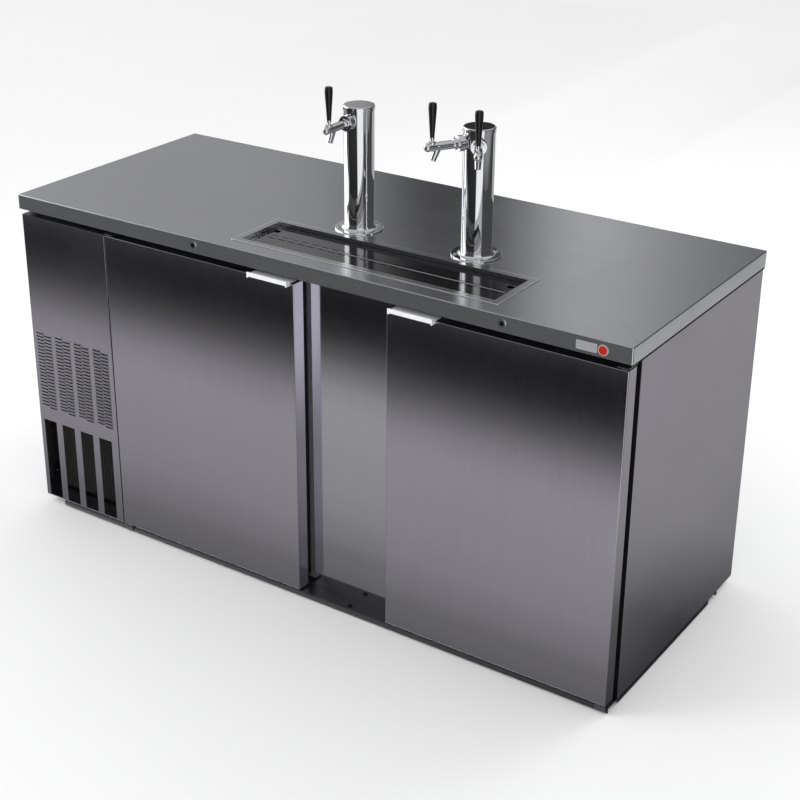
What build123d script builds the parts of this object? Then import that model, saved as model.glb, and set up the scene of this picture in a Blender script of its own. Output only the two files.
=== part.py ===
from build123d import *
import os
from math import cos, radians, sin

# A two-door, two-tower direct-draw beer cooler, in millimetres. +X is to the right along the
# front, +Y is to the back and +Z is up. The origin is on the floor, under the middle of the box.

# ---------------------------------------------------------------- driving dimensions
WIDTH = 1829  # worktop, left to right: the 72 in size
DEPTH = 730  # worktop, front to back
HEIGHT = 940  # floor to worktop surface
BAND = 40  # height of the worktop's folded edge
TOP_SHEET = 1.5  # worktop and drip pan
SHEET = 1.2  # body panels and door skins
CLEAR = 0.5  # gap between parts that only pass each other
PULL_REACH = 10  # how far the door pulls stand in front of the worktop

FRONT = -(DEPTH + PULL_REACH) / 2 + PULL_REACH  # y of the worktop's front edge
BACK = FRONT + DEPTH
LEFT, RIGHT = -WIDTH / 2, WIDTH / 2
BAND_BOTTOM = HEIGHT - BAND

# cabinet
SIDE_INSET = 4  # side panels stand this far inside the worktop's ends
FLANGE = 14  # folded edges of the side panels
FLANGE_FACE = FRONT + 57
FRAME_FACE = FLANGE_FACE + SHEET  # front face of the door frame
FRAME_SHEET = 1.5
PANEL_BACK = BACK - 2
BASE_TOP = 19  # underside of the cabinet's bottom sheet
RAIL_BOTTOM = 5
CAB_LEFT, CAB_RIGHT = LEFT + SIDE_INSET, RIGHT - SIDE_INSET
IN_LEFT, IN_RIGHT = CAB_LEFT + SHEET, CAB_RIGHT - SHEET
MACHINE_WIDTH = 302  # compressor compartment
PARTITION = IN_LEFT + MACHINE_WIDTH  # x of the partition sheet
FLOOR_TOP = BASE_TOP + SHEET
FOAM_BACK = PANEL_BACK - 2 * SHEET

# doors
DOOR_WIDTH, DOOR_DEPTH = 620, 38
DOOR_FACE = FRONT + 4
DOOR_BACK = DOOR_FACE + DOOR_DEPTH
DOOR_BOTTOM, DOOR_TOP = HEIGHT - 915, HEIGHT - 58
DOOR_LEFT_X = LEFT + 308  # hinged edge of the left door
DOOR_RIGHT_X = RIGHT - 9  # hinged edge of the right door
HINGE_IN, HINGE_Y = 12, DOOR_FACE + 8  # pin centre: in from the hinged edge, and its y
PIN_R, PIN_CLEAR = 4.0, 0.05
BUSH_R, BUSH_LENGTH, BUSH_FLANGE = 6.0, 20, 2
BRACKET = 3  # sheet of the hinge brackets
GASKET_INSET, GASKET_WIDTH = 14, 16
OPEN_HINGE, OPEN_FREE = 50, 38  # door opening, in from the door's hinged and free edges
OPEN_BOTTOM, OPEN_TOP = HEIGHT - 878, HEIGHT - 95

# insulated box
WALL, JAMB = 50, 46
CAVITY_LEFT, CAVITY_RIGHT = DOOR_LEFT_X + OPEN_HINGE, DOOR_RIGHT_X - OPEN_HINGE
CAVITY_FRONT, CAVITY_BACK = FRAME_FACE + JAMB, FOAM_BACK - WALL
CAVITY_BOTTOM, CAVITY_TOP = HEIGHT - 866, HEIGHT - 88
LINER = 1.0

# grille cover
GRILLE_LEFT, GRILLE_RIGHT = LEFT + 5, LEFT + 305
GRILLE_BOTTOM, GRILLE_TOP = HEIGHT - 915, HEIGHT - 56

# drip tray
TRAY_X = LEFT + 1087
TRAY_Y = FRONT + 142
TRAY_LENGTH, TRAY_WIDTH, RIM = 770, 192, 20
TRAY_DEPTH, GRID_DEPTH = 30, 9
SINK_LENGTH, SINK_WIDTH = TRAY_LENGTH - 2 * RIM, TRAY_WIDTH - 2 * RIM

# towers
TOWER_SPACING = 346
TOWER_Y = FRONT + 301
COLUMN_R, COLUMN_WALL, COLUMN_HEIGHT = 38.1, 1.5, 308
FLANGE_R, CAP_R, CAP_HEIGHT = 62.5, 39.6, 12
PASSAGE_R = 25  # hole under each tower
TAP_HEIGHT = 284  # centre of the faucets above the worktop
LEVER_OUT = 125  # lever centre, out from the column's axis
PIVOT_UP = 10.5  # lever pivot above the faucet's centre line
SHANK_R, SHANK_BORE = 11.0, 3.2
FLANGE_SCREW_REACH = 52.5  # from the tower's axis
FIT = 0.2  # radial gap between a screw or plug and its hole

TOWERS = (TRAY_X - TOWER_SPACING / 2, TRAY_X + TOWER_SPACING / 2)
# name: tower x, and the faucet's turn about the column, from straight ahead
TAPS = {"left": (TOWERS[0], 0), "middle": (TOWERS[1], -30), "right": (TOWERS[1], 30)}

LOCK_X = {"left": DOOR_LEFT_X + DOOR_WIDTH / 2, "right": DOOR_RIGHT_X - DOOR_WIDTH / 2}
LOCK_Z = HEIGHT - 19
LOCK_R, PLUG_R = 8.0, 5.95
SCREW_HEAD_R, SCREW_R = 4.0, 2.4
DRAIN_R, DRAIN_Z = 12.0, HEIGHT - 120
GAS_X, GAS_Z, GAS_R = RIGHT - 130, 700, 8.0
CORD_X, CORD_Z, CORD_R = LEFT + 60, 120, 5.0
BUSH_WALL = 3  # of the plastic bushes in the gas and cord holes
LINE_Y, LINE_Z, LINE_HOLE_R = FRONT + 300, (600, 640), 12  # refrigerant lines through the partition

os.makedirs("parts", exist_ok=True)


def slab(x0, x1, y0, y1, z0, z1, mode=Mode.ADD):
    """A block between two corners, in the part being built."""
    with Locations(((x0 + x1) / 2, (y0 + y1) / 2, (z0 + z1) / 2)):
        Box(abs(x1 - x0), abs(y1 - y0), abs(z1 - z0), mode=mode)


def upright(x, y, z0, z1, radius, mode=Mode.ADD):
    """A vertical round bar or hole."""
    with Locations((x, y, (z0 + z1) / 2)):
        Cylinder(radius, z1 - z0, mode=mode)


def along_y(x, z, y0, y1, radius, mode=Mode.ADD):
    """A round bar or hole that runs front to back."""
    with Locations((x, (y0 + y1) / 2, z)):
        Cylinder(radius, y1 - y0, rotation=(90, 0, 0), mode=mode)


def along_x(y, z, x0, x1, radius, mode=Mode.ADD):
    """A round bar or hole that runs left to right."""
    with Locations(((x0 + x1) / 2, y, z)):
        Cylinder(radius, x1 - x0, rotation=(0, 90, 0), mode=mode)


def save(piece, label):
    """Name a finished piece and write it to its own file."""
    piece.part.label = label
    export_step(piece.part, f"parts/{label}.step")


def door_openings():
    """Left and right x of the two door openings."""
    left = (DOOR_LEFT_X + OPEN_HINGE, DOOR_LEFT_X + DOOR_WIDTH - OPEN_FREE)
    right = (DOOR_RIGHT_X - DOOR_WIDTH + OPEN_FREE, DOOR_RIGHT_X - OPEN_HINGE)
    return left, right


def tower_screw_places():
    """Centres of the flange screws of both towers."""
    reach = FLANGE_SCREW_REACH
    turns = [radians(45 + 90 * step) for step in range(4)]
    return [(x + reach * cos(a), TOWER_Y + reach * sin(a)) for x in TOWERS for a in turns]


def tap_plane(name, up=0.0):
    """Plane at a column's axis with local x out along the faucet and local z up."""
    x, turn = TAPS[name]
    out = (sin(radians(turn)), -cos(radians(turn)), 0)
    return Plane(origin=(x, TOWER_Y, HEIGHT + TAP_HEIGHT + up), x_dir=out, z_dir=(0, 0, 1))


# ---------------------------------------------------------------- cabinet shell
def side_panel(outer, inward):
    """Side sheet with its front and back edges folded inward."""
    with BuildPart() as panel:
        with BuildSketch(Plane.XY.offset(BASE_TOP)):
            with BuildLine():
                Polyline(
                    (outer + inward * FLANGE, FLANGE_FACE),
                    (outer, FLANGE_FACE),
                    (outer, PANEL_BACK),
                    (outer + inward * FLANGE, PANEL_BACK),
                    (outer + inward * FLANGE, PANEL_BACK - SHEET),
                    (outer + inward * SHEET, PANEL_BACK - SHEET),
                    (outer + inward * SHEET, FLANGE_FACE + SHEET),
                    (outer + inward * FLANGE, FLANGE_FACE + SHEET),
                    close=True,
                )
            make_face()
        extrude(amount=BAND_BOTTOM - BASE_TOP)
        corners = panel.edges().filter_by(Axis.Z).group_by(Axis.X)[0 if inward > 0 else -1]
        fillet(corners, SHEET * 0.8)
    return panel


COVER_SCREW_Y, COVER_SCREW_Z = FRONT + 46, (DOOR_BOTTOM + 60, DOOR_TOP - 60)
TAB_FRONT, TAB_HALF = FRONT + 38, 14
side_panel_left = side_panel(CAB_LEFT, 1)
with side_panel_left:  # two tabs that the grille cover's side screws hold on to
    tab_x = GRILLE_LEFT + SHEET + FIT
    for z in COVER_SCREW_Z:
        slab(tab_x, tab_x + SHEET, TAB_FRONT, FLANGE_FACE + SHEET, z - TAB_HALF, z + TAB_HALF)
        along_x(COVER_SCREW_Y, z, tab_x, tab_x + SHEET, SCREW_R + FIT, Mode.SUBTRACT)
side_panel_right = side_panel(CAB_RIGHT, -1)
with BuildPart() as side_panels:
    add(side_panel_left.part)
    add(side_panel_right.part)
save(side_panels, "side_panels")

VENT_ROWS, VENT_ROW_PITCH, VENT_SLOT, VENT_SLOT_HEIGHT, VENT_CENTRE_Z = 14, 22, 96, 8, 480
with BuildPart() as back_panel:
    slab(IN_LEFT, IN_RIGHT, PANEL_BACK - 2 * SHEET, PANEL_BACK - SHEET, BASE_TOP + SHEET, BAND_BOTTOM)
    # two columns of vent slots behind the compressor
    with BuildSketch(Plane.XZ.offset(-PANEL_BACK)):
        with Locations(((IN_LEFT + PARTITION) / 2, VENT_CENTRE_Z)):
            with GridLocations(VENT_SLOT + 24, VENT_ROW_PITCH, 2, VENT_ROWS):
                SlotOverall(VENT_SLOT, VENT_SLOT_HEIGHT)
    extrude(amount=3 * SHEET, mode=Mode.SUBTRACT)
    along_y(TRAY_X, DRAIN_Z, FOAM_BACK - SHEET, PANEL_BACK, DRAIN_R + CLEAR, Mode.SUBTRACT)
    along_y(GAS_X, GAS_Z, FOAM_BACK - SHEET, PANEL_BACK, GAS_R + BUSH_WALL + CLEAR, Mode.SUBTRACT)
    along_y(CORD_X, CORD_Z, FOAM_BACK - SHEET, PANEL_BACK, CORD_R + BUSH_WALL + CLEAR, Mode.SUBTRACT)
save(back_panel, "back_panel")

with BuildPart() as bottom_panel:
    slab(IN_LEFT, IN_RIGHT, FRAME_FACE, FOAM_BACK, BASE_TOP, FLOOR_TOP)
save(bottom_panel, "bottom_panel")

# base: rails folded as upside-down channels, with gaps where their ends meet
SILL_FRONT, SILL_BACK = FRONT + 9, FRONT + 64
REAR_RAIL_FRONT, REAR_RAIL_BACK = FRONT + 579, FRONT + 634
BASE_LEFT = LEFT + 69
RAIL_SHEET, CROSS_WIDTH = 1.5, 50
SILL_SCREW_X, SILL_SCREW_Y = LEFT + 1077, FRONT + 24
CROSS_X = (BASE_LEFT + CROSS_WIDTH / 2, -60, CAB_RIGHT - CROSS_WIDTH / 2)


def channel(x0, x1, y0, y1, run_along_x):
    """Upside-down channel between the floor gap and the cabinet's bottom."""
    slab(x0, x1, y0, y1, RAIL_BOTTOM, BASE_TOP)
    if run_along_x:
        slab(x0, x1, y0 + RAIL_SHEET, y1 - RAIL_SHEET, RAIL_BOTTOM, BASE_TOP - RAIL_SHEET, Mode.SUBTRACT)
    else:
        slab(x0 + RAIL_SHEET, x1 - RAIL_SHEET, y0, y1, RAIL_BOTTOM, BASE_TOP - RAIL_SHEET, Mode.SUBTRACT)


with BuildPart() as base_rails:
    channel(BASE_LEFT, CAB_RIGHT, SILL_FRONT, SILL_BACK, True)
    channel(BASE_LEFT, CAB_RIGHT, REAR_RAIL_FRONT, REAR_RAIL_BACK, True)
    for x in CROSS_X:
        half = CROSS_WIDTH / 2
        channel(x - half, x + half, SILL_BACK + CLEAR, REAR_RAIL_FRONT - CLEAR, False)
    upright(SILL_SCREW_X, SILL_SCREW_Y, RAIL_BOTTOM, BASE_TOP, SCREW_R + FIT, Mode.SUBTRACT)
save(base_rails, "base_rails")

GLIDE_R, GLIDE_STUD_R = 16, 5
with BuildPart() as leveling_glides:
    for x in CROSS_X:
        for y in ((SILL_FRONT + SILL_BACK) / 2, (REAR_RAIL_FRONT + REAR_RAIL_BACK) / 2):
            upright(x, y, 0, RAIL_BOTTOM, GLIDE_R)
            upright(x, y, RAIL_BOTTOM, BASE_TOP - RAIL_SHEET, GLIDE_STUD_R)
    chamfer(leveling_glides.edges().group_by(Axis.Z)[0], 1.2)
save(leveling_glides, "leveling_glides")

FRAME_BACK = FRAME_FACE + FRAME_SHEET
HEADER = 30  # strip of the frame that runs on over the compressor compartment
with BuildPart() as front_frame:
    slab(PARTITION, IN_RIGHT, FRAME_FACE, FRAME_BACK, FLOOR_TOP, BAND_BOTTOM)
    slab(IN_LEFT, PARTITION, FRAME_FACE, FRAME_BACK, BAND_BOTTOM - HEADER, BAND_BOTTOM)
    for x0, x1 in door_openings():
        slab(x0, x1, FRAME_FACE, FRAME_BACK, OPEN_BOTTOM, OPEN_TOP, Mode.SUBTRACT)
save(front_frame, "front_frame")

with BuildPart() as partition:
    slab(PARTITION, PARTITION + FRAME_SHEET, FRAME_BACK, FOAM_BACK, FLOOR_TOP, BAND_BOTTOM)
    for z in LINE_Z:
        along_x(LINE_Y, z, PARTITION, PARTITION + FRAME_SHEET, LINE_HOLE_R, Mode.SUBTRACT)
save(partition, "partition")


def keg_space(inset, front_y):
    """The box's inner space and its two door openings, smaller all round by inset."""
    slab(
        CAVITY_LEFT + inset, CAVITY_RIGHT - inset,
        CAVITY_FRONT + inset, CAVITY_BACK - inset,
        CAVITY_BOTTOM + inset, CAVITY_TOP - inset,
    )
    for x0, x1 in door_openings():
        slab(
            x0 + inset, x1 - inset, front_y, CAVITY_FRONT + 2 * inset,
            OPEN_BOTTOM + inset, OPEN_TOP - inset,
        )


def service_holes(extra):
    """Beer-line, drain, gas-line and refrigerant holes through the insulation and liner."""
    over = 3  # how far each cut starts inside the keg space
    for x in TOWERS:
        upright(x, TOWER_Y, CAVITY_TOP - over, HEIGHT, PASSAGE_R, Mode.SUBTRACT)
    upright(TRAY_X, TRAY_Y, CAVITY_TOP - over, HEIGHT, DRAIN_R + extra, Mode.SUBTRACT)
    along_y(TRAY_X, DRAIN_Z, CAVITY_BACK - over, BACK, DRAIN_R + extra, Mode.SUBTRACT)
    along_y(GAS_X, GAS_Z, CAVITY_BACK - over, BACK, GAS_R + BUSH_WALL + extra, Mode.SUBTRACT)
    for z in LINE_Z:
        along_x(LINE_Y, z, PARTITION, CAVITY_LEFT + over, LINE_HOLE_R, Mode.SUBTRACT)


with BuildPart(mode=Mode.PRIVATE) as keg_space_outer:
    keg_space(0, FRAME_BACK)
with BuildPart(mode=Mode.PRIVATE) as keg_space_inner:
    keg_space(LINER, FRAME_FACE)

SOFFIT_BACK = FRAME_FACE - SHEET
CAM_POCKET, POCKET_DEPTH = 40, 32
FLANGE_SCREW_HOLE = 18
JOINT = 0.5  # gap between neighbouring foam boards
BOX_LEFT = PARTITION + FRAME_SHEET
CORE_LEFT, CORE_RIGHT = LEFT + TOP_SHEET, RIGHT - TOP_SHEET
CORE_FRONT, CORE_BACK = FRONT + TOP_SHEET, BACK - TOP_SHEET
CORE_BOTTOM, CORE_TOP = BAND_BOTTOM + TOP_SHEET, HEIGHT - TOP_SHEET
SINK_LEFT, SINK_RIGHT = TRAY_X - SINK_LENGTH / 2 - TOP_SHEET, TRAY_X + SINK_LENGTH / 2 + TOP_SHEET
SINK_FRONT, SINK_BACK = TRAY_Y - SINK_WIDTH / 2 - TOP_SHEET, TRAY_Y + SINK_WIDTH / 2 + TOP_SHEET
SINK_BOTTOM = HEIGHT - TRAY_DEPTH - TOP_SHEET
MULLION = (door_openings()[0][1], door_openings()[1][0])
with BuildPart() as insulation:
    # cabinet boards: floor and ceiling with their front strips, walls, back and mullion
    slab(BOX_LEFT, IN_RIGHT, CAVITY_FRONT + JOINT, FOAM_BACK, FLOOR_TOP, CAVITY_BOTTOM)
    slab(BOX_LEFT, IN_RIGHT, FRAME_BACK, CAVITY_FRONT, FLOOR_TOP, OPEN_BOTTOM)
    slab(BOX_LEFT, IN_RIGHT, CAVITY_FRONT + JOINT, FOAM_BACK, CAVITY_TOP, BAND_BOTTOM)
    slab(BOX_LEFT, IN_RIGHT, FRAME_BACK, CAVITY_FRONT, OPEN_TOP, BAND_BOTTOM)
    slab(
        BOX_LEFT, CAVITY_LEFT, CAVITY_FRONT + JOINT, FOAM_BACK,
        CAVITY_BOTTOM + JOINT, CAVITY_TOP - JOINT,
    )
    slab(
        CAVITY_RIGHT, IN_RIGHT, CAVITY_FRONT + JOINT, FOAM_BACK,
        CAVITY_BOTTOM + JOINT, CAVITY_TOP - JOINT,
    )
    slab(
        CAVITY_LEFT + JOINT, CAVITY_RIGHT - JOINT, CAVITY_BACK, FOAM_BACK,
        CAVITY_BOTTOM + JOINT, CAVITY_TOP - JOINT,
    )
    for x0, x1 in ((BOX_LEFT, CAVITY_LEFT), MULLION, (CAVITY_RIGHT, IN_RIGHT)):
        slab(x0, x1, FRAME_BACK, CAVITY_FRONT, OPEN_BOTTOM + JOINT, OPEN_TOP - JOINT)
    # worktop core: strips around the sink, and a thin board under it
    slab(CORE_LEFT, CORE_RIGHT, CORE_FRONT, SINK_FRONT, CORE_BOTTOM, CORE_TOP)
    slab(CORE_LEFT, CORE_RIGHT, SINK_BACK, CORE_BACK, CORE_BOTTOM, CORE_TOP)
    slab(CORE_LEFT, SINK_LEFT, SINK_FRONT + JOINT, SINK_BACK - JOINT, CORE_BOTTOM, CORE_TOP)
    slab(SINK_RIGHT, CORE_RIGHT, SINK_FRONT + JOINT, SINK_BACK - JOINT, CORE_BOTTOM, CORE_TOP)
    slab(
        SINK_LEFT + JOINT, SINK_RIGHT - JOINT, SINK_FRONT + JOINT, SINK_BACK - JOINT,
        CORE_BOTTOM, SINK_BOTTOM,
    )
    service_holes(CLEAR)
    for x in LOCK_X.values():
        slab(
            x - CAM_POCKET, x + CAM_POCKET, FRONT, FRONT + POCKET_DEPTH,
            BAND_BOTTOM, HEIGHT - 4, Mode.SUBTRACT,
        )
    for x, y in tower_screw_places():
        upright(x, y, HEIGHT - FLANGE_SCREW_HOLE, HEIGHT, SCREW_R + FIT, Mode.SUBTRACT)
save(insulation, "insulation")

with BuildPart() as inner_liner:
    add(keg_space_outer.part)
    add(keg_space_inner.part, mode=Mode.SUBTRACT)
    service_holes(CLEAR)
save(inner_liner, "inner_liner")

RIB_COUNT, RIB_HEIGHT, RIB_WIDTH, RACK_PLAY, RACK_SHEET = 6, 6, 20, 5, 2
with BuildPart() as keg_floor_rack:
    rack = (
        CAVITY_LEFT + RACK_PLAY, CAVITY_RIGHT - RACK_PLAY,
        CAVITY_FRONT + RACK_PLAY, CAVITY_BACK - RACK_PLAY,
    )
    rib_bottom = CAVITY_BOTTOM + LINER
    slab(*rack, rib_bottom + RIB_HEIGHT, rib_bottom + RIB_HEIGHT + RACK_SHEET)
    rib_gap = (rack[3] - rack[2] - RIB_WIDTH) / (RIB_COUNT - 1)
    for rib in range(RIB_COUNT):
        y = rack[2] + rib * rib_gap
        slab(rack[0], rack[1], y, y + RIB_WIDTH, rib_bottom, rib_bottom + RIB_HEIGHT)
save(keg_floor_rack, "keg_floor_rack")

# ---------------------------------------------------------------- worktop
with BuildPart() as worktop:
    with BuildSketch(Plane.XY.offset(BAND_BOTTOM)):
        with Locations((0, (FRONT + BACK) / 2)):
            RectangleRounded(WIDTH, DEPTH, 3)
    extrude(amount=BAND)
    fillet(worktop.edges().group_by(Axis.Z)[-1], 2.5)
    with BuildSketch(Plane.XY.offset(BAND_BOTTOM)):
        with Locations((0, (FRONT + BACK) / 2)):
            Rectangle(WIDTH - 2 * TOP_SHEET, DEPTH - 2 * TOP_SHEET)
    extrude(amount=BAND - TOP_SHEET, mode=Mode.SUBTRACT)
    # folded-in closing strip under the front overhang, and narrow folds on the other sides
    inside = (LEFT + TOP_SHEET, RIGHT - TOP_SHEET, FRONT + TOP_SHEET, BACK - TOP_SHEET)
    slab(inside[0], inside[1], inside[2], SOFFIT_BACK, BAND_BOTTOM, BAND_BOTTOM + TOP_SHEET)
    slab(inside[0], CAB_LEFT, SOFFIT_BACK, inside[3], BAND_BOTTOM, BAND_BOTTOM + TOP_SHEET)
    slab(CAB_RIGHT, inside[1], SOFFIT_BACK, inside[3], BAND_BOTTOM, BAND_BOTTOM + TOP_SHEET)
    cut = SINK_LENGTH / 2 + TOP_SHEET, SINK_WIDTH / 2 + TOP_SHEET
    slab(
        TRAY_X - cut[0], TRAY_X + cut[0], TRAY_Y - cut[1], TRAY_Y + cut[1],
        HEIGHT - TOP_SHEET, HEIGHT, Mode.SUBTRACT,
    )
    for x in TOWERS:
        upright(x, TOWER_Y, HEIGHT - TOP_SHEET, HEIGHT, PASSAGE_R, Mode.SUBTRACT)
    for x, y in tower_screw_places():
        upright(x, y, HEIGHT - TOP_SHEET, HEIGHT, SCREW_R + FIT, Mode.SUBTRACT)
    for x in LOCK_X.values():
        along_y(x, LOCK_Z, FRONT, FRONT + TOP_SHEET, LOCK_R + FIT, Mode.SUBTRACT)
        slab(x - 8, x + 32, FRONT + 22, FRONT + 31, BAND_BOTTOM, BAND_BOTTOM + TOP_SHEET, Mode.SUBTRACT)
save(worktop, "worktop")

# ---------------------------------------------------------------- drip tray
PAN_SHEET = 1.2
SEAM = 0.1  # gap left along each weld, so that every strip of the pan and the grid stays a plain solid
PAN_FLOOR = HEIGHT - TRAY_DEPTH
PAN_HALF_X, PAN_HALF_Y = SINK_LENGTH / 2, SINK_WIDTH / 2
with BuildPart() as drip_pan:
    # rim frame
    with BuildSketch(Plane.XY.offset(HEIGHT)):
        with Locations((TRAY_X, TRAY_Y)):
            RectangleRounded(TRAY_LENGTH, TRAY_WIDTH, 5)
    extrude(amount=TOP_SHEET)
    fillet(drip_pan.edges().group_by(Axis.Z)[-1], 1.0)
    slab(
        TRAY_X - PAN_HALF_X, TRAY_X + PAN_HALF_X, TRAY_Y - PAN_HALF_Y, TRAY_Y + PAN_HALF_Y,
        HEIGHT, HEIGHT + TOP_SHEET, Mode.SUBTRACT,
    )
    # welded trough: floor with the drain hole, front and back walls, and end walls between them
    slab(
        TRAY_X - PAN_HALF_X - PAN_SHEET, TRAY_X + PAN_HALF_X + PAN_SHEET,
        TRAY_Y - PAN_HALF_Y - PAN_SHEET, TRAY_Y + PAN_HALF_Y + PAN_SHEET,
        PAN_FLOOR - PAN_SHEET, PAN_FLOOR,
    )
    upright(TRAY_X, TRAY_Y, PAN_FLOOR - PAN_SHEET, PAN_FLOOR, DRAIN_R - 1, Mode.SUBTRACT)
    for side in (-1, 1):
        wall = TRAY_Y + side * PAN_HALF_Y
        slab(
            TRAY_X - PAN_HALF_X - PAN_SHEET, TRAY_X + PAN_HALF_X + PAN_SHEET,
            wall, wall + side * PAN_SHEET, PAN_FLOOR + SEAM, HEIGHT - SEAM,
        )
        end = TRAY_X + side * PAN_HALF_X
        slab(
            end, end + side * PAN_SHEET, TRAY_Y - PAN_HALF_Y + SEAM, TRAY_Y + PAN_HALF_Y - SEAM,
            PAN_FLOOR + SEAM, HEIGHT - SEAM,
        )
save(drip_pan, "drip_pan")

GRID_PLAY, GRID_SHEET, RIDGE_R, RIDGE_END = 2, 1.2, 2.5, 14
GRID_TOP = HEIGHT - GRID_DEPTH
SLOTS, SLOT_STEP, SLOT_LENGTH, SLOT_WIDTH, SLOT_ROW_GAP = 22, 31, 22, 3, 18
LIFT_HOLE_R, LIFT_HOLE_IN = 9, 22  # finger holes for lifting the grid out
with BuildPart() as drip_grid:
    half_x, half_y = SINK_LENGTH / 2 - GRID_PLAY, SINK_WIDTH / 2 - GRID_PLAY
    slab(TRAY_X - half_x, TRAY_X + half_x, TRAY_Y - half_y, TRAY_Y + half_y, GRID_TOP - GRID_SHEET, GRID_TOP)
    for side in (-1, 1):
        edge = TRAY_Y + side * half_y
        slab(
            TRAY_X - half_x, TRAY_X + half_x, edge, edge - side * GRID_SHEET,
            PAN_FLOOR, GRID_TOP - GRID_SHEET - SEAM,
        )
    # rounded ridge along the middle, then the drain slots on both sides of it
    ridge = TRAY_X - half_x + RIDGE_END, TRAY_X + half_x - RIDGE_END
    along_x(TRAY_Y, GRID_TOP - 1, *ridge, RIDGE_R)
    slab(
        *ridge, TRAY_Y - RIDGE_R, TRAY_Y + RIDGE_R,
        GRID_TOP - GRID_SHEET - RIDGE_R, GRID_TOP - GRID_SHEET, Mode.SUBTRACT,
    )
    with BuildSketch(Plane.XY.offset(GRID_TOP + RIDGE_R)):
        with Locations((TRAY_X, TRAY_Y)):
            with GridLocations(SLOT_STEP, SLOT_ROW_GAP, SLOTS, 2):
                SlotOverall(SLOT_LENGTH, SLOT_WIDTH)
            with GridLocations(2 * (half_x - LIFT_HOLE_IN), 1, 2, 1):
                with Locations((0, half_y / 2)):
                    Circle(LIFT_HOLE_R)
    extrude(amount=-2 * RIDGE_R - GRID_SHEET, mode=Mode.SUBTRACT)
save(drip_grid, "drip_grid")

ELBOW_R, DRAIN_WALL, STRAINER_LIP, STRAINER_HEIGHT = 26, 3.5, 5, 1.5
with BuildPart() as drain_tube:
    with BuildLine() as drain_route:
        FilletPolyline(
            (TRAY_X, TRAY_Y, PAN_FLOOR - PAN_SHEET),
            (TRAY_X, TRAY_Y, DRAIN_Z),
            (TRAY_X, PANEL_BACK, DRAIN_Z),
            radius=ELBOW_R,
        )
    with BuildSketch(Plane(origin=drain_route.line @ 0, z_dir=drain_route.line % 0)):
        Circle(DRAIN_R - CLEAR)
        Circle(DRAIN_R - CLEAR - DRAIN_WALL, mode=Mode.SUBTRACT)
    sweep()
    # strainer flange in the pan, with its spigot through the pan's hole
    upright(TRAY_X, TRAY_Y, PAN_FLOOR, PAN_FLOOR + STRAINER_HEIGHT, DRAIN_R + STRAINER_LIP)
    upright(TRAY_X, TRAY_Y, PAN_FLOOR - PAN_SHEET, PAN_FLOOR, DRAIN_R - 3 * CLEAR)
    bore = DRAIN_R - CLEAR - DRAIN_WALL
    upright(TRAY_X, TRAY_Y, PAN_FLOOR - PAN_SHEET, GRID_TOP, bore, Mode.SUBTRACT)
save(drain_tube, "drain_tube")

# ---------------------------------------------------------------- grille cover
BLOCKS, BLOCK_PITCH, BLOCK_LEFT, BLOCK_WIDTH = 4, 71.5, 13, 58
LOUVRE_ROWS, LOUVRE_PITCH, LOUVRE_HEIGHT = 23, 10, 5.2
LOUVRE_TOP = HEIGHT - 400
VENT_WIDTH, VENT_LEFT, VENT_PITCH = 48, 15, 71
VENT_TOP = HEIGHT - 668
with BuildPart() as grille_cover:
    slab(GRILLE_LEFT, GRILLE_RIGHT, DOOR_FACE, FLANGE_FACE, GRILLE_BOTTOM, GRILLE_TOP)
    fillet(grille_cover.edges().group_by(Axis.Y)[0], 1.5)
    slab(
        GRILLE_LEFT + SHEET, GRILLE_RIGHT - SHEET, DOOR_FACE + SHEET, FLANGE_FACE,
        GRILLE_BOTTOM + SHEET, GRILLE_TOP - SHEET, Mode.SUBTRACT,
    )
    # two staggered columns of louvre slots in each block
    with BuildSketch(Plane.XZ.offset(-DOOR_FACE - 5)):
        column = BLOCK_WIDTH / 2
        for block in range(BLOCKS):
            for side in (0, 1):
                x = GRILLE_LEFT + BLOCK_LEFT + block * BLOCK_PITCH + column * (side + 0.5)
                z = LOUVRE_TOP - (LOUVRE_ROWS - 1) * LOUVRE_PITCH / 2 - side * LOUVRE_PITCH / 2
                with Locations((x, z)):
                    with GridLocations(1, LOUVRE_PITCH, 1, LOUVRE_ROWS):
                        Rectangle(column - 3, LOUVRE_HEIGHT)
            x = GRILLE_LEFT + VENT_LEFT + block * VENT_PITCH + VENT_WIDTH / 2
            with Locations((x, (VENT_TOP + GRILLE_BOTTOM + 4) / 2)):
                Rectangle(VENT_WIDTH, VENT_TOP - GRILLE_BOTTOM - 4)
    extrude(amount=10, mode=Mode.SUBTRACT)
    for z in COVER_SCREW_Z:
        along_x(COVER_SCREW_Y, z, GRILLE_LEFT, GRILLE_LEFT + SHEET, SCREW_R + FIT, Mode.SUBTRACT)
save(grille_cover, "grille_cover")

# ---------------------------------------------------------------- doors
# side: hinged edge's x, and +1 where the door runs to the right of it
DOORS = {"left": (DOOR_LEFT_X, 1), "right": (DOOR_RIGHT_X, -1)}
PULL_LENGTH, PULL_IN, PULL_BAR, PULL_SHEET = 122, 11, 11, 2.5
PULL_BAR_DEPTH, PULL_FOOT, PULL_END = 3.5, 26, 3  # bar's thickness, plate's reach on the door, end tabs
DIKE_HEIGHT, LINER_SHEET = 10, 2


def door_box(hinged, way, inset_hinge, inset_free):
    """Low and high x of something that starts and ends inside a door's two edges."""
    ends = (hinged + way * inset_hinge, hinged + way * (DOOR_WIDTH - inset_free))
    return min(ends), max(ends)


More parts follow.
